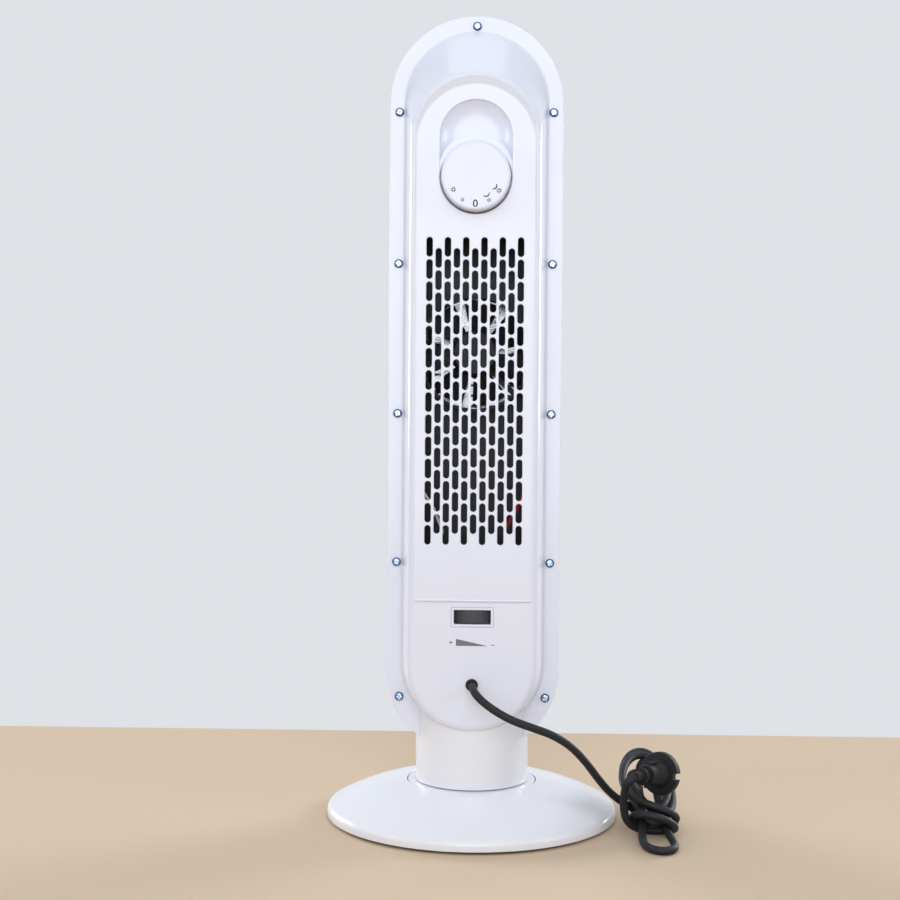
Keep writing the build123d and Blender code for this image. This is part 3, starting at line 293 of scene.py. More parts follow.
# shared effects
def newGroup(name, inputs, outputs):
    group = bpy.data.node_groups.new(name, "ShaderNodeTree")
    for label, kind, value in inputs:
        socket = group.interface.new_socket(name=label, in_out="INPUT", socket_type=kind)
        if value is not None:
            socket.default_value = value
    for label, kind in outputs:
        group.interface.new_socket(name=label, in_out="OUTPUT", socket_type=kind)
    start = group.nodes.new("NodeGroupInput")
    end = group.nodes.new("NodeGroupOutput")
    return group, start, end


def addNode(tree, kind, values=(), **settings):
    made = tree.nodes.new("ShaderNode" + kind)
    for key, value in settings.items():
        setattr(made, key, value)
    for key, value in dict(values).items():
        if isinstance(value, bpy.types.NodeSocket):
            tree.links.new(value, made.inputs[key])
        else:
            made.inputs[key].default_value = value
    return made


def mathNode(tree, how, a, b=0.0):
    return addNode(tree, "Math", {0: a, 1: b}, operation=how).outputs[0]


# moulded plastic: fine spark grain, slow waviness and a faint tone drift
def makeMouldSkin():
    group, start, end = newGroup(
        "mouldSkin",
        [
            ("Vector", "NodeSocketVector", None),
            ("Grain size", "NodeSocketFloat", 900.0),
            ("Wave size", "NodeSocketFloat", 18.0),
            ("Grain share", "NodeSocketFloat", 0.35),
        ],
        [("Height", "NodeSocketFloat"), ("Tone", "NodeSocketFloat")],
    )
    place = start.outputs["Vector"]
    grain = addNode(
        group, "TexNoise", {"Vector": place, "Scale": start.outputs["Grain size"], "Detail": 3.0}
    )
    wave = addNode(
        group, "TexNoise", {"Vector": place, "Scale": start.outputs["Wave size"], "Detail": 1.5}
    )
    share = start.outputs["Grain share"]
    fine = mathNode(group, "MULTIPLY", grain.outputs[0], share)
    height = mathNode(group, "ADD", wave.outputs[0], fine)
    tone = mathNode(group, "ADD", mathNode(group, "MULTIPLY", wave.outputs[0], 0.75), 0.12)
    group.links.new(height, end.inputs["Height"])
    group.links.new(tone, end.inputs["Tone"])
    return group


# light dust on what faces up, and faint rubbed patches
def makeHandling():
    group, start, end = newGroup(
        "handling",
        [
            ("Vector", "NodeSocketVector", None),
            ("Dust", "NodeSocketFloat", 0.1),
            ("Patch size", "NodeSocketFloat", 30.0),
        ],
        [("Dust", "NodeSocketFloat"), ("Rub", "NodeSocketFloat")],
    )
    place = start.outputs["Vector"]
    facing = addNode(group, "NewGeometry")
    split = addNode(group, "SeparateXYZ", {0: facing.outputs["Normal"]})
    upward = addNode(
        group, "MapRange", {"Value": split.outputs["Z"], "From Min": 0.2, "From Max": 1.0}
    )
    specks = addNode(group, "TexNoise", {"Vector": place, "Scale": 260.0, "Detail": 4.0})
    loose = addNode(
        group, "MapRange", {"Value": specks.outputs[0], "From Min": 0.42, "From Max": 0.7}
    )
    both = mathNode(group, "MULTIPLY", upward.outputs[0], loose.outputs[0])
    group.links.new(mathNode(group, "MULTIPLY", both, start.outputs["Dust"]), end.inputs["Dust"])
    patch = addNode(
        group, "TexNoise", {"Vector": place, "Scale": start.outputs["Patch size"], "Detail": 4.0}
    )
    rub = addNode(
        group, "MapRange", {"Value": patch.outputs[0], "From Min": 0.2, "From Max": 0.8}
    )
    group.links.new(rub.outputs[0], end.inputs["Rub"])
    return group


mouldSkin = makeMouldSkin()
handling = makeHandling()


# a web colour as linear values
def rgb(code):
    parts = [int(code[k : k + 2], 16) / 255 for k in (0, 2, 4)]
    lin = [c / 12.92 if c <= 0.04045 else ((c + 0.055) / 1.055) ** 2.4 for c in parts]
    return (*lin, 1.0)


# one finish: colour with a slow drift, painted shade on an edge marked by the "rim" attribute, and dust; roughness with
# rubbed patches, grain bump
def makeFinish(name, look):
    material = bpy.data.materials.new(name)
    material.use_nodes = True
    tree = material.node_tree
    shader = tree.nodes["Principled BSDF"]
    place = addNode(tree, "TexCoord").outputs["Object"]
    if "stretch" in look:
        mapped = addNode(tree, "Mapping", {"Vector": place, "Scale": look["stretch"]})
        place = mapped.outputs[0]
    skin = addNode(tree, "Group", node_tree=mouldSkin)
    wear = addNode(tree, "Group", node_tree=handling)
    for node in (skin, wear):
        tree.links.new(place, node.inputs["Vector"])
    skin.inputs["Grain size"].default_value = look.get("grain", 900.0)
    skin.inputs["Wave size"].default_value = look.get("wave", 18.0)
    skin.inputs["Grain share"].default_value = look.get("share", 0.35)
    wear.inputs["Dust"].default_value = look.get("dust", 0.05)
    wear.inputs["Patch size"].default_value = look.get("patch", 30.0)
    colour = addNode(tree, "Mix", data_type="RGBA")
    tree.links.new(skin.outputs["Tone"], colour.inputs["Factor"])
    colour.inputs["A"].default_value = rgb(look["shade"])
    colour.inputs["B"].default_value = rgb(look["colour"])
    # painted shade: where the "rim" attribute is set, the colour turns to the darker "ring" colour
    if "ring" in look:
        edge = addNode(tree, "Attribute", attribute_name="rim")
        paintedEdgeShade = addNode(tree, "Mix", data_type="RGBA")
        tree.links.new(edge.outputs["Fac"], paintedEdgeShade.inputs["Factor"])
        tree.links.new(colour.outputs["Result"], paintedEdgeShade.inputs["A"])
        paintedEdgeShade.inputs["B"].default_value = rgb(look["ring"])
        colour = paintedEdgeShade
    dusty = addNode(tree, "Mix", data_type="RGBA")
    tree.links.new(wear.outputs["Dust"], dusty.inputs["Factor"])
    tree.links.new(colour.outputs["Result"], dusty.inputs["A"])
    dusty.inputs["B"].default_value = rgb("b9b4ab")
    tree.links.new(dusty.outputs["Result"], shader.inputs["Base Color"])
    low, high = look["rough"]
    rough = addNode(
        tree, "MapRange", {"Value": wear.outputs["Rub"], "To Min": low, "To Max": high}
    )
    tree.links.new(rough.outputs[0], shader.inputs["Roughness"])
    bump = addNode(
        tree, "Bump", {"Height": skin.outputs["Height"], "Strength": look.get("bump", 0.1)}
    )
    bump.inputs["Distance"].default_value = look.get("deep", 0.0002)
    tree.links.new(bump.outputs[0], shader.inputs["Normal"])
    shader.inputs["Metallic"].default_value = look.get("metal", 0.0)
    shader.inputs["Coat Weight"].default_value = look.get("coat", 0.0)
    shader.inputs["Coat Roughness"].default_value = 0.12
    shader.inputs["IOR"].default_value = look.get("ior", 1.5)
    return material


finishes = {
    "shellWhite": {
        "colour": "e9ecf7",
        "shade": "e5e8f4",
        "rough": (0.15, 0.19),
        "bump": 0.03,
        "deep": 0.0002,
        "wave": 9.0,
        "grain": 1500.0,
        "share": 0.03,
        "dust": 0.004,
    },
    "baseWhite": {
        "colour": "eeeef1",
        "shade": "ebebee",
        "rough": (0.2, 0.26),
        "bump": 0.02,
        "deep": 0.0002,
        "wave": 8.0,
        "grain": 1500.0,
        "share": 0.02,
        "dust": 0.008,
    },
    "knobWhite": {
        "colour": "e9ecf7",
        "shade": "e5e8f4",
        "rough": (0.24, 0.28),
        "bump": 0.03,
        "deep": 0.0002,
        "grain": 1400.0,
        "share": 0.05,
        "dust": 0.003,
    },
    "printGrey": {
        "colour": "3e4048",
        "shade": "35373e",
        "rough": (0.5, 0.6),
        "grain": 2500.0,
        "bump": 0.05,
        "dust": 0.0,
    },
    "wedgeGrey": {
        "colour": "777a83",
        "shade": "6c6f78",
        "rough": (0.5, 0.6),
        "grain": 2500.0,
        "bump": 0.05,
        "dust": 0.0,
    },
    "blackPlastic": {
        "colour": "1c1c1f",
        "shade": "131315",
        "rough": (0.42, 0.55),
        "grain": 1600.0,
        "share": 0.6,
        "bump": 0.15,
        "dust": 0.25,
    },
    "wheelGrey": {
        "colour": "4a4a50",
        "shade": "3c3c42",
        "rough": (0.45, 0.58),
        "grain": 1800.0,
        "bump": 0.12,
        "dust": 0.15,
    },
    "grilleDark": {
        "colour": "2b2c30",
        "shade": "222327",
        "rough": (0.4, 0.5),
        "grain": 1500.0,
        "bump": 0.12,
        "dust": 0.15,
    },
    "cordBlack": {
        "colour": "1e1e22",
        "shade": "17171a",
        "rough": (0.52, 0.64),
        "ior": 1.4,
        "grain": 2200.0,
        "share": 0.8,
        "bump": 0.2,
        "deep": 0.0002,
        "dust": 0.04,
        "patch": 60.0,
    },
    "paleRubber": {
        "colour": "dcdcd8",
        "shade": "d0d0cb",
        "rough": (0.55, 0.7),
        "grain": 1800.0,
        "bump": 0.15,
        "dust": 0.1,
    },
    "innerWhite": {
        "colour": "dedee0",
        "shade": "d4d4d7",
        "rough": (0.4, 0.5),
        "grain": 1500.0,
        "bump": 0.1,
        "dust": 0.2,
    },
    "nylon": {
        "colour": "e2decd",
        "shade": "d6d1bd",
        "rough": (0.4, 0.52),
        "grain": 1500.0,
        "bump": 0.1,
        "dust": 0.1,
    },
    "steel": {
        "colour": "a9abad",
        "shade": "97999c",
        "rough": (0.28, 0.42),
        "metal": 1.0,
        "stretch": (1.0, 1.0, 12.0),
        "grain": 700.0,
        "share": 0.6,
        "bump": 0.08,
        "dust": 0.1,
    },
    "screwZinc": {
        "colour": "cfe0f2",
        "shade": "b4cbe4",
        # ring: painted shade, a darker zinc blue for the edge of a screw head
        "ring": "37598a",
        "rough": (0.16, 0.26),
        "metal": 1.0,
        "grain": 1200.0,
        "wave": 160.0,
        "bump": 0.05,
        "dust": 0.0,
    },
    "castIron": {
        "colour": "3c3d3f",
        "shade": "2f3032",
        "rough": (0.6, 0.75),
        "metal": 1.0,
        "grain": 900.0,
        "share": 0.9,
        "bump": 0.35,
        "deep": 0.0005,
    },
    "aluminium": {
        "colour": "dcdee0",
        "shade": "c6c8cb",
        "rough": (0.2, 0.3),
        "metal": 1.0,
        "grain": 900.0,
        "bump": 0.06,
        "dust": 0.1,
    },
    "brass": {
        "colour": "b3934a",
        "shade": "9c7e3a",
        "rough": (0.25, 0.38),
        "metal": 1.0,
        "grain": 900.0,
        "bump": 0.06,
    },
    "redInsulation": {
        "colour": "b8202b",
        "shade": "a01822",
        "rough": (0.35, 0.45),
        "grain": 1500.0,
        "bump": 0.06,
    },
    "whiteInsulation": {
        "colour": "e4e4e2",
        "shade": "d6d6d4",
        "rough": (0.35, 0.45),
        "grain": 1500.0,
        "bump": 0.06,
    },
    "ceramicBlack": {
        "colour": "2f2d2c",
        "shade": "242221",
        "rough": (0.5, 0.65),
        "grain": 1200.0,
        "share": 0.8,
        "bump": 0.2,
        "dust": 0.1,
    },
}
finish = {name: makeFinish(name, look) for name, look in finishes.items()}
print("finishes made:", len(finish))

# every carried-over node gets its finish
nodeFinish = {
    "steel": "base_plate base_screws sector_screws neck_screws swing_motor motor_screws "
    "fan_screws fan_motor rotor_shaft heater_screws switch_screws wheel_spindle thermostat_screws",
    "castIron": "ballast_ring",
    "nylon": "swivel_post glide_ring toothed_sector",
    "brass": "swing_pinion",
    "blackPlastic": "fan_frame fan_rotor rotary_switch tip_over_switch",
    "ceramicBlack": "ptc_frame thermostat_body",
    "aluminium": "ptc_elements ptc_fins",
    "innerWhite": "thermal_cutout switch_shaft turntable",
    "redInsulation": "red_wire",
    "whiteInsulation": "white_wire",
    "cordBlack": "cord_gland cord_tube cord_hank plug_body",
    "screwZinc": "plug_pins case_screws",
    "shellWhite": "rear_shell front_shell",
    "knobWhite": "knob",
    "wheelGrey": "thermostat_wheel thermostat_bezel",
    "grilleDark": "front_grille",
    "baseWhite": "base_cover neck_sleeve",
    "paleRubber": "rubber_feet",
}
for finishName, nodeNames in nodeFinish.items():
    for nodeName in nodeNames.split():
        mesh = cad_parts[nodeName].data
        mesh.materials.clear()
        mesh.materials.append(finish[finishName])

# mains lead: its route from the housing, then the hank's turns, wraps and the run into the plug
mainsLead = {
    "radius": 3.5,
    "length": 1393,
    "route": [
        (0, 48, 127.5), (0, 64, 127.5), (-5, 79, 121.5), (-18, 89, 113), (-34, 94, 105),
        (-52, 93, 98.6), (-70, 90, 92), (-86, 84, 81), (-100, 76, 65), (-111.5, 67, 48),
        (-123, 59, 34), (-138, 50, 22),
    ],
    "hank": [
        (-150.4, 37.0, 12.4), (-162.8, 21.4, 10.6), (-172.6, 4.2, 15.7), (-177.6, -11.8, 26.1),
        (-176.2, -24.3, 38.3), (-168.7, -30.9, 48.3), (-157.9, -30.2, 53.2), (-147.1, -22.0, 52.0),
        (-139.3, -7.3, 46.2), (-136.1, 11.8, 38.1), (-138.6, 32.4, 30.5), (-144.2, 51.8, 24.3),
        (-149.9, 66.7, 18.4), (-156.2, 74.1, 14.4), (-163.3, 72.6, 14.3), (-170.9, 62.5, 16.8),
        (-177.3, 45.6, 20.2), (-180.3, 25.4, 26.3), (-179.4, 5.3, 34.1), (-174.6, -10.9, 41.8),
        (-167.1, -19.1, 46.9), (-159.0, -17.2, 47.6), (-153.3, -5.8, 43.5), (-150.9, 12.1, 35.1),
        (-150.7, 33.0, 25.1), (-150.1, 54.3, 15.5), (-147.8, 74.8, 8.4), (-146.0, 93.6, 4.8),
        (-147.6, 109.4, 3.6), (-153.7, 119.6, 3.6), (-162.3, 122.4, 3.6), (-169.8, 117.1, 3.6),
        (-172.8, 104.8, 3.6), (-171.3, 88.0, 4.8), (-168.4, 68.5, 8.1), (-166.9, 48.0, 15.2),
        (-166.7, 27.7, 23.5), (-165.9, 9.1, 30.8), (-161.9, -4.7, 35.4), (-154.6, -10.5, 37.1),
        (-147.2, -5.8, 37.7), (-143.7, 8.3, 37.8), (-144.0, 26.9, 36.0), (-146.9, 44.7, 31.8),
        (-152.4, 57.0, 25.8), (-160.1, 60.5, 21.5), (-168.2, 53.7, 22.2), (-174.4, 38.4, 27.8),
        (-176.6, 19.2, 36.1), (-173.2, 1.4, 44.8), (-165.0, -9.5, 51.4), (-154.3, -10.3, 54.0),
        (-144.2, -1.3, 52.2), (-137.2, 13.6, 47.2), (-134.3, 30.4, 40.9), (-136.4, 46.2, 34.9),
        (-144.1, 59.0, 30.4), (-156.9, 67.0, 26.9), (-170.7, 68.9, 22.8), (-179.2, 64.1, 16.7),
        (-178.3, 56.0, 10.1), (-169.0, 49.9, 6.2), (-155.6, 49.0, 6.0), (-144.3, 53.5, 9.7),
        (-140.2, 61.9, 15.9), (-144.2, 71.2, 20.8), (-154.8, 77.5, 21.6), (-167.4, 77.7, 17.7),
        (-176.2, 72.2, 11.3), (-177.2, 64.8, 5.9), (-169.3, 60.0, 3.4), (-155.7, 60.3, 3.5),
        (-142.4, 64.3, 6.5), (-134.1, 68.3, 15.1), (-132.0, 70.0, 27.7), (-132.5, 75.0, 42.0),
        (-134.5, 80.5, 51.0), (-141.8, 77.0, 54.2), (-150.5, 65.5, 52.8),
    ],
}


def makeLead():
    data = bpy.data.curves.new("mainsLead", "CURVE")
    data.dimensions = "3D"
    data.resolution_u = 8
    data.bevel_depth = mainsLead["radius"] * mm
    data.bevel_resolution = 3
    data.use_fill_caps = True
    points = mainsLead["route"] + mainsLead["hank"]
    spline = data.splines.new("NURBS")
    spline.points.add(len(points) - 1)
    for spot, point in zip(points, spline.points):
        point.co = (*(v * mm for v in spot), 1)
    spline.order_u = 3
    spline.use_endpoint_u = True
    lead = bpy.data.objects.new("mainsLead", data)
    bpy.context.scene.collection.objects.link(lead)
    return lead


lead = dress(makeLead(), "column", finish["cordBlack"], ("cord_tube", "cord_hank"))

plug = {
    "centre": (-168.5, 42.0, 49.5),
    "axis": (0.60, 0.78, 0.10),
    "disc": [(0.6, 17.6), (0.0, 18.2), (0.4, 18.75), (5.2, 18.75), (5.8, 18.3), (6.0, 17.2)],
    "grip": [(5.0, 11.6), (7.5, 11.8), (12.0, 10.6), (17.0, 9.4), (22.0, 9.0), (26.5, 9.4), (28.0, 8.6)],
    "relief": [(26.0, 6.4), (32.0, 5.9), (38.0, 5.1), (44.0, 4.4), (45.0, 3.9)],
    "reliefRings": 5,
    "notch": (5.5, 4.5),
    "pin": [(1.0, 2.4), (-15.5, 2.4), (-17.8, 2.0), (-19.0, 1.0)],
    "pinSpacing": 19.0,
}


def plugPlace():
    out = Vector(plug["axis"]).normalized()
    across = (Vector((0.71, -0.71, 0)) - out * out.dot(Vector((0.71, -0.71, 0)))).normalized()
    up = out.cross(across)
    matrix = Matrix((across, up, out)).transposed().to_4x4()
    return Matrix.Translation(Vector(plug["centre"]) * mm) @ matrix


def makePlug():
    disc = ringBody("plugBody", plug["disc"], axis="Z", steps=64)
    width, depth = plug["notch"]
    reach = plug["disc"][2][1]
    for side in (1, -1):
        corners = sorted((side * (reach - depth), side * (reach + 3)))
        carve(disc, block("notch", (corners[0], -width / 2, -2), (corners[1], width / 2, 8), 0.6))
    grip = ringBody("grip", plug["grip"], axis="Z", steps=40)
    for k in range(plug["reliefRings"]):
        z = 10.5 + 3.2 * k
        for side in (1, -1):
            rib = block("rib", (-3.6, side * 9.6 - 1.9, z - 0.6), (3.6, side * 9.6 + 1.9, z + 0.6), 0.4)
            carve(grip, rib, "UNION")
    relief = ringBody("relief", plug["relief"], axis="Z", steps=24)
    for k in range(plug["reliefRings"]):
        z = 29.5 + 2.8 * k
        groove = ringBody("groove", [(z, 7.5), (z + 1.0, 7.5), (z + 1.0, 4.3), (z, 4.3)], "Z", steps=24, hollow=True)
        carve(relief, groove)
    body = joinAll([disc, grip, relief], "plugBody")
    body.data.transform(plugPlace())
    smoothOff(body, 34)
    half = plug["pinSpacing"] / 2
    pins = [ringBody("pin", plug["pin"], "Z", (0, side * half), 20) for side in (1, -1)]
    pins = joinAll(pins, "plugPins")
    pins.data.transform(plugPlace())
    smoothOff(pins, 40)
    return body, pins


plugBody, plugPins = makePlug()
dress(plugBody, "column", finish["cordBlack"], ("plug_body",))
dress(plugPins, "column", finish["screwZinc"], ("plug_pins",))

# rear shell: plate, crowned housing, recessed panel, knob well and scoop, slots, window
shell = {
    "plate": (77.5, 136.0, 642.5),
    "housingBase": (64.0, 143.0, 641.0),
    "housingFar": (54.9, 143.8, 601.6),
    "faces": (20.0, 63.0),
    "crown": [(0, 54.8), (201, 54.8), (271, 55.99), (340, 55.99), (420, 56.3), (520, 56.6),
              (570, 57.1), (600, 57.75), (628, 58.6), (645, 59.4), (662, 60.5), (720, 61.5)],
    "rim": 5.8,
    "reference": 54.8,
    "crownCuts": (165.0, 201.0, 236.0, 271.0, 305.0, 340.0, 380.0, 420.0, 470.0, 520.0, 545.0, 570.0, 587.0, 600.0),
    "panelFace": 56.0,
    "panelHalf": 51.3,
    "panelTop": 600.0,
    "ledge": 201.0,
    "well": (31.6, 570.5, 46.0),
    "scoop": (606.8, 45.9),
    "land": (54.5, 32.8, 576.0),
}


def between(table, place):
    for (a, va), (b, vb) in zip(table, table[1:]):
        if place <= b:
            return va + (vb - va) * max(0, place - a) / (b - a)
    return table[-1][1]


def housingRing(y, grow=0.0):
    (half, low, high), (farHalf, farLow, farHigh) = shell["housingBase"], shell["housingFar"]
    t = (y - shell["faces"][0]) / (shell["faces"][1] - shell["faces"][0])
    return (y, half + (farHalf - half) * t + grow, low + (farLow - low) * t, high + (farHigh - high) * t)


def makeHousing():
    level, rim = shell["reference"], shell["rim"]
    wallEnd, corner = housingRing(level - rim), housingRing(level)
    flat = (level, corner[1] - rim, corner[2], corner[3])
    rings = [housingRing(17.6, 2.0), housingRing(19.5, 2.0), housingRing(20.2, 1.0),
             housingRing(20.6, 0.5), housingRing(21.3, 0.15), housingRing(22.3)]
    for k in range(9):
        u = k / 8
        shares = ((1 - u) ** 2, 2 * u * (1 - u), u * u)
        rings.append(tuple(sum(w * ring[i] for w, ring in zip(shares, (wallEnd, corner, flat))) for i in range(4)))
    body = ringBody("rearShell", rings, steps=96)
    openEdit(body)
    for height in shell["crownCuts"]:
        bpy.ops.mesh.select_all(action="SELECT")
        bpy.ops.mesh.bisect(plane_co=(0, 0, height * mm), plane_no=(0, 0, 1))
    capHeights = {round(v.co.z / mm, 4) for v in bmesh.from_edit_mesh(body.data).verts
                  if abs(v.co.y / mm - level) < 0.01}
    for height in sorted(capHeights - set(shell["crownCuts"])):
        pickParts("FACE", lambda f: f.normal.y > 0.99 and abs(middle(f).y - level) < 0.01)
        bpy.ops.mesh.bisect(plane_co=(0, 0, height * mm), plane_no=(0, 0, 1), threshold=0.00002)
    closeEdit()
    # the rounded end slides along the sloping wall until it meets the crown
    (half, low, high), (farHalf, farLow, farHigh) = shell["housingBase"], shell["housingFar"]
    reach = shell["faces"][1] - shell["faces"][0]
    for v in body.data.vertices:
        x, y, z = v.co / mm
        if y < level - rim - 0.01:
            continue
        _, _, lowHere, highHere = housingRing(y)
        if z > highHere or z < lowHere:
            centre, travel = (highHere, farHigh - high) if z > highHere else (lowHere, farLow - low)
            away = Vector((x, z - centre)).normalized()
        else:
            away, travel = Vector((math.copysign(1, x), 0)), 0
        slideX = (farHalf - half) * away.x / reach
        slideZ = ((farHalf - half) * away.y + travel) / reach
        rise = 0
        for _ in range(8):
            rise = between(shell["crown"], z + slideZ * rise) - level
        v.co = Vector((x + slideX * rise, y + rise, z + slideZ * rise)) * mm
    facesOutwards(body)
    return body


# the mouth of a cut in the panel: straight, then opening with a small rounding
def flared(y, radius, low, high):
    face = shell["panelFace"]
    opening = [(y, 0), (face - 0.5, 0), (face - 0.18, 0.12), (face + 0.02, 0.42), (face + 7, 0.42)]
    return [(along, radius + grow, low, high) for along, grow in opening]


def makeRearShell():
    body = makeHousing()
    print("housing formed")
    half, low, high = shell["plate"]
    rings = [(17.0, -0.5), (17.25, 0), (19.1, 0), (19.7, -0.25), (20.0, -0.9)]
    plate = ringBody("plate", [(y, half + grow, low, high) for y, grow in rings], steps=128)
    carve(body, plate, "UNION")
    slab = block("slab", (-51.3, 52.5, 201), (51.3, 56, 330), 0)
    openEdit(slab, "EDGE")
    pickParts("EDGE", lambda e: middle(e).y > 55.9 and middle(e).z < 202)
    bpy.ops.mesh.bevel(offset=0.45 * mm, segments=3, profile=0.5, affect="EDGES")
    closeEdit()
    carve(body, slab, "UNION")
    bead = block("bead", (-51.0, 54.9, 200.9), (51.0, 56.75, 202.7), 0.7, 4)
    carve(body, bead, "UNION")
    radius, knobLevel, floor = shell["well"]
    scoopLevel, scoopFloor = shell["scoop"]
    cavity = ringBody("cavity", [(16.0, 61.5, 143, 639.7), (20, 61.5, 143, 639.7), (52, 54.7, 143.6, 610.5)], steps=64)
    cup = ringBody("cup", [(floor - 2.5, radius + 2.5, knobLevel, scoopLevel), (54, radius + 2.5, knobLevel, scoopLevel)], steps=48)
    carve(cavity, cup)
    carve(body, cavity)
    print("shell hollowed")
    face, panelHalf = shell["panelFace"], shell["panelHalf"]
    rise = [(0, -0.6), (0.06, 0.1), (0.25, 0.75), (0.6, 1.5), (6, 12.3)]
    pocket = [(face + up, panelHalf + out, 395, shell["panelTop"]) for up, out in rise]
    carve(body, ringBody("pocket", pocket, steps=128))
    carve(body, ringBody("well", flared(floor, radius, knobLevel, knobLevel), centre=(0, knobLevel), steps=96))
    carve(body, ringBody("landCut", flared(shell["land"][0], radius - 0.02, knobLevel, scoopLevel), steps=96))
    scoop = []
    for share in (0.03, 0.2, 0.36, 0.5, 0.61, 0.7, 0.78, 0.85, 0.91, 0.96, 0.99):
        scoop.append((scoopFloor + 7.6 * share**5, (radius - 0.04) * share, knobLevel, scoopLevel))
    scoop += [(scoopFloor + 7.9, radius - 0.04, knobLevel, scoopLevel)]
    scoop += [(y, r - 0.04, a, b) for y, r, a, b in flared(54.6, radius, knobLevel, scoopLevel)]
    scoop = ringBody("scoop", scoop, steps=96)
    _, landRadius, landLevel = shell["land"]
    keep = [(40, landRadius), (54.3, landRadius), (54.55, landRadius - 0.3), (66, landRadius - 0.3)]
    carve(scoop, ringBody("keep", keep, centre=(0, landLevel), steps=96))
    carve(body, scoop)
    print("well and scoop cut")
    grooves = []
    for side in (1, -1):
        x = side * (panelHalf + 0.1)
        grooves.append(block("groove", (x - 0.25, 55.6, 203), (x + 0.25, 60, 470), 0))
    carve(body, joinAll(grooves, "grooves"))
    return body


rearShell = makeRearShell()

slots = {
    "width": 5.4,
    "length": 16.9,
    "pitchX": 7.96,
    "pitchZ": 19.33,
    "middle": 384.6,
    "columns": 11,
    "rows": 14,
    "mouth": [(51.0, 0.0), (55.1, 0.0), (55.5, 0.08), (55.8, 0.26), (56.2, 0.8), (57.0, 0.8)],
    "steps": 16,
}


def cutSlots(body):
    half = slots["width"] / 2
    reach = slots["length"] / 2 - half
    rings = [(y, half + grow, -reach, reach) for y, grow in slots["mouth"]]
    cutter = ringBody("slot", rings, steps=slots["steps"])
    copies = []
    for column in range(slots["columns"]):
        rows = slots["rows"] - column % 2
        x = (column - (slots["columns"] - 1) / 2) * slots["pitchX"]
        for row in range(rows):
            z = slots["middle"] + (row - (rows - 1) / 2) * slots["pitchZ"]
            copies.append(copyTo(cutter, (x, 0, z)))
    bpy.data.objects.remove(cutter)
    carve(body, joinAll(copies, "slotCutters"))
    print("slots cut:", len(copies))


cutSlots(rearShell)

controls = {
    "window": (34.4, 14.6),
    "recess": (37.6, 17.8, 0.9),
    "wheelLevel": 187.1,
    "lowerFace": 54.8,
    "cordHole": (127.5, 5.3),
}
windowHalf = [v / 2 for v in controls["window"]]
level = controls["wheelLevel"]
carve(rearShell, block("window", (-windowHalf[0], 50, level - windowHalf[1]), (windowHalf[0], 60, level + windowHalf[1])))
wide, tall, deep = controls["recess"]
top = controls["lowerFace"]
carve(rearShell, block("recess", (-wide / 2, top - deep, level - tall / 2), (wide / 2, 60, level + tall / 2), 0.3))
holeLevel, holeRadius = controls["cordHole"]
holeRings = [(50, holeRadius), (54.3, holeRadius), (54.65, holeRadius + 0.15), (55.1, holeRadius + 0.9), (60, holeRadius + 0.9)]
carve(rearShell, ringBody("cordHole", holeRings, centre=(0, holeLevel), steps=48))
neckCut = {"radius": 51.12, "top": 112.2}
carve(rearShell, ringBody("neckRoom", [(50, neckCut["radius"]), (neckCut["top"], neckCut["radius"])], axis="Z", steps=96))
smoothOff(rearShell, 34)
dress(rearShell, "column", finish["shellWhite"], ("rear_shell",))

# case screws: pan heads with a cross recess
screws = {
    "sides": (68.8, (634.2, 499.2, 365.2, 231.9)),
    "low": (65.6, 110.6),
    "top": 710.6,
    "head": [(18.6, 1.9), (19.9, 1.9), (19.9, 3.7), (20.2, 3.9), (20.9, 3.9), (21.6, 3.55), (22.05, 2.9), (22.3, 1.8), (22.4, 0.3)],
}


def makeScrews():
    one = ringBody("screw", screws["head"], steps=28)
    for turn in (20, 110):
        bar = block("bar", (-2.4, 20.6, -0.65), (2.4, 24, 0.65))
        bar.data.transform(Matrix.Rotation(math.radians(turn), 4, "Y"))
        carve(one, bar)
    smoothOff(one, 38)
    # the edge of the head gets a darker blue: the zinc's own blue tint, darkened with painted shade that stands in for
    # the shade round the head
    rim = one.data.attributes.new("rim", "FLOAT", "POINT")
    for v, value in zip(one.data.vertices, rim.data):
        out = math.hypot(v.co.x, v.co.z) / mm
        value.value = min(1, max(0, (out - 2.5) / 0.5))
    x, levels = screws["sides"]
    places = [(side * x, z) for z in levels for side in (1, -1)]
    places += [(side * screws["low"][0], screws["low"][1]) for side in (1, -1)] + [(0, screws["top"])]
    copies = []
    for k, (x, z) in enumerate(places):
        copies.append(copyTo(one, (x, 0, z), 0))
        about = Matrix.Translation((x * mm, 0, z * mm))
        copies[-1].data.transform(about @ Matrix.Rotation(0.55 * k, 4, "Y") @ about.inverted())
    bpy.data.objects.remove(one)
    return joinAll(copies, "caseScrews")


dress(makeScrews(), "column", finish["screwZinc"], ("case_screws",))

# knob with its printed symbols
knob = {
    "centre": (0, 570.5),
    "body": [(50.5, 26.5), (50.5, 29.4), (50.9, 30.0), (68.0, 30.0)],
    "round": 2.0,
    "face": 70.0,
    "dish": 69.8,
    "print": 0.05,
    "suns": [((19.2, 557.8), 1.05), ((11.3, 549.1), 0.74), ((-11.5, 548.8), 0.78), ((-20.2, 557.0), 1.05)],
    "swings": [
        ((-6.6, 552.9), (-9.0, 552.0), (-11.7, 555.4)),
        ((-14.2, 558.5), (-16.4, 558.6), (-17.6, 562.8)),
    ],
    "zero": ((0.2, 545.6), 6.6),
}


def makeKnob():
    rings = list(knob["body"])
    for k in range(1, 8):
        t = math.pi / 2 * k / 7
        rings.append((knob["face"] - knob["round"] + knob["round"] * math.sin(t), 30 - knob["round"] * (1 - math.cos(t))))
    rings += [(70.0, 27.8), (69.9, 27.5), (knob["dish"], 27.35), (knob["dish"], 0.4)]
    body = ringBody("knobBody", rings, centre=knob["centre"], steps=96)
    smoothOff(body, 28)
    return body


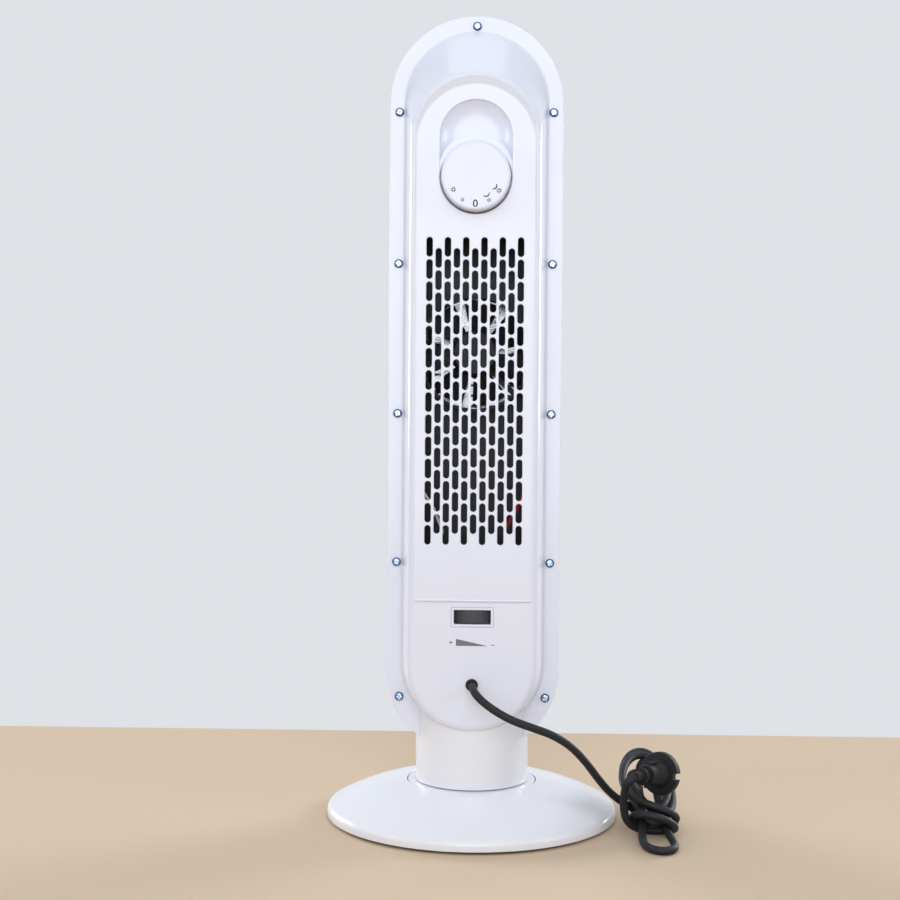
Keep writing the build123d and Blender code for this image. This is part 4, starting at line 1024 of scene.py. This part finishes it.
# a ring with eight short rays
def makeSun(spot, size):
    face = knob["dish"]
    high = face + knob["print"] + 0.02
    outline = [(face, 1.55 * size), (high, 1.55 * size), (high, 0.88 * size), (face, 0.88 * size)]
    rays = [ringBody("sun", outline, steps=24, hollow=True)]
    for k in range(8):
        ray = block("ray", (1.75 * size, face, -0.26), (2.35 * size, high, 0.26))
        ray.data.transform(Matrix.Rotation(math.radians(45 * k + 22.5), 4, "Y"))
        rays.append(ray)
    sun = joinAll(rays, "sun")
    sun.data.transform(Matrix.Translation(Vector((spot[0], 0, spot[1])) * mm))
    return sun


# a bowed stroke for the swing setting, thickest in the middle
def makeSwing(points):
    clearPick()
    runs = 12
    bpy.ops.mesh.primitive_grid_add(x_subdivisions=runs, y_subdivisions=1, size=mm)
    stroke = bpy.context.object
    placeNow(stroke)
    path = arcThrough(*points, runs)
    for v in stroke.data.vertices:
        k = round((v.co.x / mm + 0.5) * runs)
        before, after = path[max(k - 1, 0)], path[min(k + 1, runs)]
        along = Vector((after[0] - before[0], after[1] - before[1])).normalized()
        half = math.copysign(0.26 + 0.34 * math.sin(math.pi * k / runs), v.co.y)
        x, z = path[k][0] - along.y * half, path[k][1] + along.x * half
        v.co = Vector((x, knob["dish"], z)) * mm
    openEdit(stroke)
    bpy.ops.mesh.select_all(action="SELECT")
    bpy.ops.mesh.extrude_region_move(TRANSFORM_OT_translate={"value": (0, knob["print"] * mm, 0)})
    closeEdit()
    facesOutwards(stroke)
    return stroke


def makeZero(spot, tall):
    clearPick()
    bpy.ops.object.text_add(location=(spot[0] * mm, knob["dish"] * mm, spot[1] * mm), rotation=(math.pi / 2, 0, math.pi))
    mark = bpy.context.object
    mark.data.body = "0"
    mark.data.size = tall * 1.38 * mm
    mark.data.align_x = "CENTER"
    mark.data.align_y = "CENTER"
    mark.data.extrude = knob["print"] * mm
    mark.data.offset = 0.00018
    mark.data.resolution_u = 6
    bpy.ops.object.convert(target="MESH")
    mark = bpy.context.object
    placeNow(mark)
    return mark


knobBody = makeKnob()
dress(knobBody, "mode_knob", finish["knobWhite"], ("knob",))
marks = [makeSun(spot, size) for spot, size in knob["suns"]]
marks += [makeSwing(points) for points in knob["swings"]]
marks.append(makeZero(*knob["zero"]))
dress(joinAll(marks, "knobMarks"), "mode_knob", finish["printGrey"])

# thermostat: bezel, ribbed wheel and the printed wedge with its signs
thermostat = {
    "lip": (36.6, 16.8),
    "opening": (32.4, 12.6),
    "tube": (34.0, 14.2),
    "wheel": (22.0, 33.2, 12.0),
    "ribs": 40,
    "ribDeep": 0.7,
    "wedge": (14.2, -12.7, 161.9, 6.2),
    "plus": (18.6, 164.8, 2.9),
    "minus": (-18.0, 162.8, 2.9),
    "line": 0.75,
}


def makeBezel():
    face, level = controls["lowerFace"], controls["wheelLevel"]
    w, h = (v / 2 for v in thermostat["lip"])
    body = block("bezel", (-w, face - 0.85, level - h), (w, face + 0.5, level + h), 0.35, 3)
    w, h = (v / 2 for v in thermostat["tube"])
    carve(body, block("tube", (-w, 50, level - h), (w, face + 0.2, level + h)), "UNION")
    w, h = (v / 2 for v in thermostat["opening"])
    hole = block("hole", (-w, 45, level - h), (w, face + 0.2, level + h))
    carve(body, hole)
    mouth = block("mouth", (-w - 0.3, face + 0.15, level - h - 0.3), (w + 0.3, face + 5, level + h + 0.3), 0.25)
    carve(body, mouth)
    smoothOff(body, 34)
    return body


def makeWheel():
    radius, y, thick = thermostat["wheel"]
    level = controls["wheelLevel"]
    low, high = level - thick / 2, level + thick / 2
    deep = thermostat["ribDeep"]
    rings = [(low, 3.2), (low, radius - deep - 0.5), (low + 0.5, radius - deep), (high - 0.5, radius - deep), (high, radius - deep - 0.5), (high, 3.2)]
    drum = ringBody("wheel", rings, axis="Z", steps=80, hollow=True)
    rib = block("rib", (-0.62, radius - deep - 0.4, low + 0.3), (0.62, radius, high - 0.3), 0.3)
    parts = [drum]
    for k in range(thermostat["ribs"]):
        parts.append(copyTo(rib, turn=360 / thermostat["ribs"] * k))
    bpy.data.objects.remove(rib)
    body = joinAll(parts, "thermostatWheel")
    body.data.transform(Matrix.Translation((0, y * mm, 0)))
    smoothOff(body, 34, weigh=False)
    return body


def makeWedge():
    tall, tip, base, rise = thermostat["wedge"]
    y = controls["lowerFace"]
    bar = block("wedgeMark", (tip, y - 0.02, base), (tall, y + 0.05, base + rise))
    openEdit(bar, "VERT")
    pickParts("VERT", lambda v: middle(v).x < tip + 0.1 and middle(v).z > base + 1)
    bpy.ops.transform.translate(value=(0, 0, (0.25 - rise) * mm))
    closeEdit()
    marks = [bar]
    line = thermostat["line"] / 2
    for x, z, wide in (thermostat["plus"], thermostat["minus"]):
        marks.append(block("dash", (x - wide / 2, y - 0.02, z - line), (x + wide / 2, y + 0.05, z + line)))
    x, z, wide = thermostat["plus"]
    marks.append(block("dash", (x - line, y - 0.02, z - wide / 2), (x + line, y + 0.05, z + wide / 2)))
    return joinAll(marks, "wedgeMark")


dress(makeBezel(), "column", finish["shellWhite"], ("thermostat_bezel",))
dress(makeWheel(), "heat_wheel", finish["wheelGrey"], ("thermostat_wheel",))
dress(makeWedge(), "column", finish["wedgeGrey"])

# front shell, outlet grille and finer heater fins
front = {
    "taper": (14.0, 75.5, -58.0, 62.0),
    "round": 14.0,
    "wall": 2.8,
    "levels": (136.0, 642.5),
    "outlet": (44.0, 265.0, 560.0),
}


def frontRings(inset):
    near, nearHalf, far, farHalf = front["taper"]
    low, high = front["levels"]
    bend = front["round"] - inset
    far = far + inset
    start = far + bend

    def half(y):
        return nearHalf - inset + (farHalf - nearHalf) * (near - y) / (near + 58.0)

    rings = [(start + (near - start) * k / 4, half(start + (near - start) * k / 4), low, high) for k in (4, 3, 2, 1, 0)]
    for k in range(1, 9):
        t = math.pi / 2 * k / 8
        rings.append((start - bend * math.sin(t), half(start) - bend * (1 - math.cos(t)) - 1.2 * k / 8, low, high))
    return rings


def makeFrontShell():
    low, high = front["levels"]
    rim = [(17.0, 77.0, low, high), (16.75, 77.5, low, high), (14.4, 77.5, low, high), (14.0, 77.1, low, high)]
    body = ringBody("frontShell", rim + frontRings(0), steps=96)
    hollow = [(18, 73.0, low, high)] + frontRings(front["wall"])[0:]
    carve(body, ringBody("frontHollow", hollow, steps=96))
    half, low, high = front["outlet"]
    mouth = [(-66, half + 0.8), (-58.01, half + 0.8), (-57.7, half + 0.3), (-57.2, half), (-50, half)]
    carve(body, ringBody("outlet", [(y, r, low, high) for y, r in mouth], steps=96))
    carve(body, ringBody("neckRoom", [(50, neckCut["radius"]), (neckCut["top"], neckCut["radius"])], axis="Z", steps=96))
    posts = []
    for top, x, levels in ((-8, 56, (126,)), (-12, 54, (362, 478)), (-31.5, 54, (380, 460))):
        for z in levels:
            for side in (1, -1):
                posts.append(ringBody("post", [(-56.5, 4.2), (top - 0.02, 4.2)], centre=(side * x, z), steps=16))
    carve(body, joinAll(posts, "posts"), "UNION")
    smoothOff(body, 34)
    return body


dress(makeFrontShell(), "column", finish["shellWhite"], ("front_shell",))

grille = {"pitch": 10.0, "thick": 2.5, "proud": 59.0, "ring": (43.7, 39.7)}


def makeGrille():
    outer, inner = grille["ring"]
    _, low, high = front["outlet"]
    proud = -grille["proud"]
    rings = [(-53.4, outer), (proud + 0.5, outer), (proud + 0.15, outer - 0.2), (proud, outer - 0.7), (proud, inner + 0.8),
             (proud + 0.2, inner + 0.2), (proud + 0.7, inner), (-53.4, inner)]
    body = ringBody("grille", [(y, r, low, high) for y, r in rings], steps=96, hollow=True)
    thick = grille["thick"]
    count = int((high - low + 88) / grille["pitch"]) - 1
    start = (low + high) / 2 - (count - 1) / 2 * grille["pitch"]
    bar = block("louvre", (-44, -58, start - thick / 2), (44, -54.4, start + thick / 2), 0.8, 3)
    bars = joinAll([copyTo(bar, (0, 0, k * grille["pitch"])) for k in range(count)], "louvres")
    bpy.data.objects.remove(bar)
    carve(bars, ringBody("trim", [(-70, 41.7, low, high), (-40, 41.7, low, high)], steps=96), "INTERSECT")
    carve(body, bars, "UNION")
    smoothOff(body, 34)
    return body


dress(makeGrille(), "column", finish["grilleDark"], ("front_grille",))

heater = {"half": 38.0, "elements": 4, "elementWide": 8.0, "level": 420.0, "tall": 128.0, "fold": 2.4, "depth": (-43.0, -32.0)}


def makeFins():
    space = (2 * heater["half"] - heater["elements"] * heater["elementWide"]) / (heater["elements"] + 1)
    folds = int(heater["tall"] / heater["fold"] * 2)
    strips = []
    front0, back0 = heater["depth"]
    for k in range(heater["elements"] + 1):
        x = (k - heater["elements"] / 2) * (heater["elementWide"] + space)
        clearPick()
        bpy.ops.mesh.primitive_grid_add(x_subdivisions=1, y_subdivisions=folds, size=mm)
        strip = bpy.context.object
        strip.scale = ((back0 - front0), heater["tall"], 1)
        strip.rotation_euler = (math.pi / 2, 0, math.pi / 2)
        placeNow(strip)
        levels = sorted({round(v.co.z, 7) for v in strip.data.vertices})
        order = {z: i for i, z in enumerate(levels)}
        for v in strip.data.vertices:
            side = 1 if order[round(v.co.z, 7)] % 2 else -1
            v.co.x += (x + side * (space / 2 - 0.3)) * mm
            v.co.y += (front0 + back0) / 2 * mm
            v.co.z += heater["level"] * mm
        modify(strip, "SOLIDIFY", thickness=0.25 * mm, offset=0)
        strips.append(strip)
    return joinAll(strips, "heaterFins")


dress(makeFins(), "column", finish["aluminium"], ("ptc_fins",))

# base: dished cover, feet, turntable and neck
base = {
    "radius": 131.0,
    "cover": [(2.3, 130.2), (2.6, 130.8), (3.4, 131.0), (7.0, 131.0)],
    "rim": ((131.0, 7.0), (129.6, 10.2), (126.0, 12.4)),
    "dome": ((126.0, 12.4), (97.0, 24.6), (59.4, 32.9)),
    "inside": [(32.6, 58.75), (32.0, 58.6), (25.0, 58.6), (25.0, 61.1), (30.0, 61.3), (22.1, 95.8), (9.9, 124.6), (7.0, 128.5), (2.3, 128.5)],
    "foot": [(0.0, 11.9), (0.35, 12.7), (1.2, 13.0), (2.6, 13.0)],
    "footRing": 112.0,
    "feet": 6,
    "firstFoot": 20.0,
    "turntable": [(29.8, 20.0), (29.8, 57.4), (30.2, 57.9), (32.2, 57.9), (32.6, 57.7), (32.8, 57.2), (32.8, 0.3)],
    "neck": [(33.6, 48.7), (33.6, 50.4), (34.0, 50.9), (34.6, 51.0), (112.0, 51.0), (112.0, 48.5), (34.0, 48.5)],
}


def makeBaseCover():
    rings = list(base["cover"])
    rings += [(z, r) for r, z in arcThrough(*base["rim"], 6)[1:]]
    rings += [(z, r) for r, z in arcThrough(*base["dome"], 14)[1:]]
    rings += [(33.0, 59.0)] + base["inside"]
    body = ringBody("baseCover", rings, axis="Z", steps=160, hollow=True)
    smoothOff(body, 34)
    return body


def makeFeet():
    foot = ringBody("foot", base["foot"], axis="Z", steps=40)
    copies = []
    for k in range(base["feet"]):
        turn = math.radians(base["firstFoot"] + 360 / base["feet"] * k)
        copies.append(copyTo(foot, (base["footRing"] * math.cos(turn), base["footRing"] * math.sin(turn), 0)))
    bpy.data.objects.remove(foot)
    body = joinAll(copies, "rubberFeet")
    smoothOff(body, 40)
    return body


dress(makeBaseCover(), "base", finish["baseWhite"], ("base_cover",))
dress(makeFeet(), "base", finish["paleRubber"], ("rubber_feet",))
turntable = ringBody("turntableDisc", base["turntable"], axis="Z", steps=128)
smoothOff(turntable, 34)
dress(turntable, "column", finish["baseWhite"], ("turntable",))
neck = ringBody("neckSleeve", base["neck"], axis="Z", steps=128, hollow=True)
smoothOff(neck, 34)
dress(neck, "column", finish["baseWhite"], ("neck_sleeve",))

# plain pale table, soft lamps and a pale surround
studio = {
    "table": (-5.0, -0.354, 5.0, 5.0),
    "tableColour": "d8c1a6",
    "wall": "dfe2e6",
    "ambient": 0.375,
    "lampColour": (0.89, 0.93, 1.0),
    "lamps": [
        ((0.12, 1.7, 1.5), 2.2, 13.4, 3.14),
        ((1.6, 0.8, 0.9), 0.7, 4.5, 3.14),
        ((-1.6, 0.8, 0.9), 0.7, 4.5, 3.14),
        ((0.0, -0.2, 2.2), 1.2, 3.5, 3.14),
        ((1.5, -1.2, 0.7), 0.8, 5.0, 1.4),
        ((-1.5, -1.2, 0.7), 0.8, 5.0, 1.4),
        ((0.0, 1.9, 0.72), 1.3, 9.4, 3.14),
    ],
}


def makeTable():
    x0, y0, x1, y1 = studio["table"]
    clearPick()
    bpy.ops.mesh.primitive_plane_add(size=1, location=((x0 + x1) / 2, (y0 + y1) / 2, -0.0002))
    table = bpy.context.object
    table.name = "table"
    table.scale = (x1 - x0, y1 - y0, 1)
    placeNow(table)
    material = bpy.data.materials.new("tablePale")
    material.use_nodes = True
    shader = material.node_tree.nodes["Principled BSDF"]
    shader.inputs["Base Color"].default_value = rgb(studio["tableColour"])
    shader.inputs["Roughness"].default_value = 0.9
    shader.inputs["Specular IOR Level"].default_value = 0.1
    table.data.materials.append(material)


def makeLamps():
    for place, size, power, spread in studio["lamps"]:
        data = bpy.data.lights.new("softLamp", "AREA")
        data.shape = "DISK"
        data.size = size
        data.energy = power
        data.spread = spread
        data.color = studio["lampColour"]
        lamp = bpy.data.objects.new("softLamp", data)
        bpy.context.scene.collection.objects.link(lamp)
        lamp.location = place
        lamp.rotation_euler = (Vector((0, 0, 0.33)) - Vector(place)).to_track_quat("-Z", "Y").to_euler()


def makeSurround():
    world = bpy.data.worlds.new("surround")
    bpy.context.scene.world = world
    world.use_nodes = True
    tree = world.node_tree
    tree.nodes.clear()
    path = addNode(tree, "LightPath")
    seen = mathNode(tree, "MAXIMUM", path.outputs["Is Camera Ray"], path.outputs["Is Transmission Ray"])
    seen = mathNode(tree, "MAXIMUM", seen, path.outputs["Is Glossy Ray"])
    light = addNode(tree, "Background", {"Color": (0.9, 0.94, 1.0, 1.0), "Strength": studio["ambient"]})
    backdrop = addNode(tree, "Background", {"Color": rgb(studio["wall"]), "Strength": 1.0})
    both = addNode(tree, "MixShader", {0: seen})
    tree.links.new(light.outputs[0], both.inputs[1])
    tree.links.new(backdrop.outputs[0], both.inputs[2])
    end = addNode(tree, "OutputWorld")
    tree.links.new(both.outputs[0], end.inputs["Surface"])


makeTable()
makeLamps()
makeSurround()
bpy.context.scene.view_settings.view_transform = "Standard"
print("studio set")
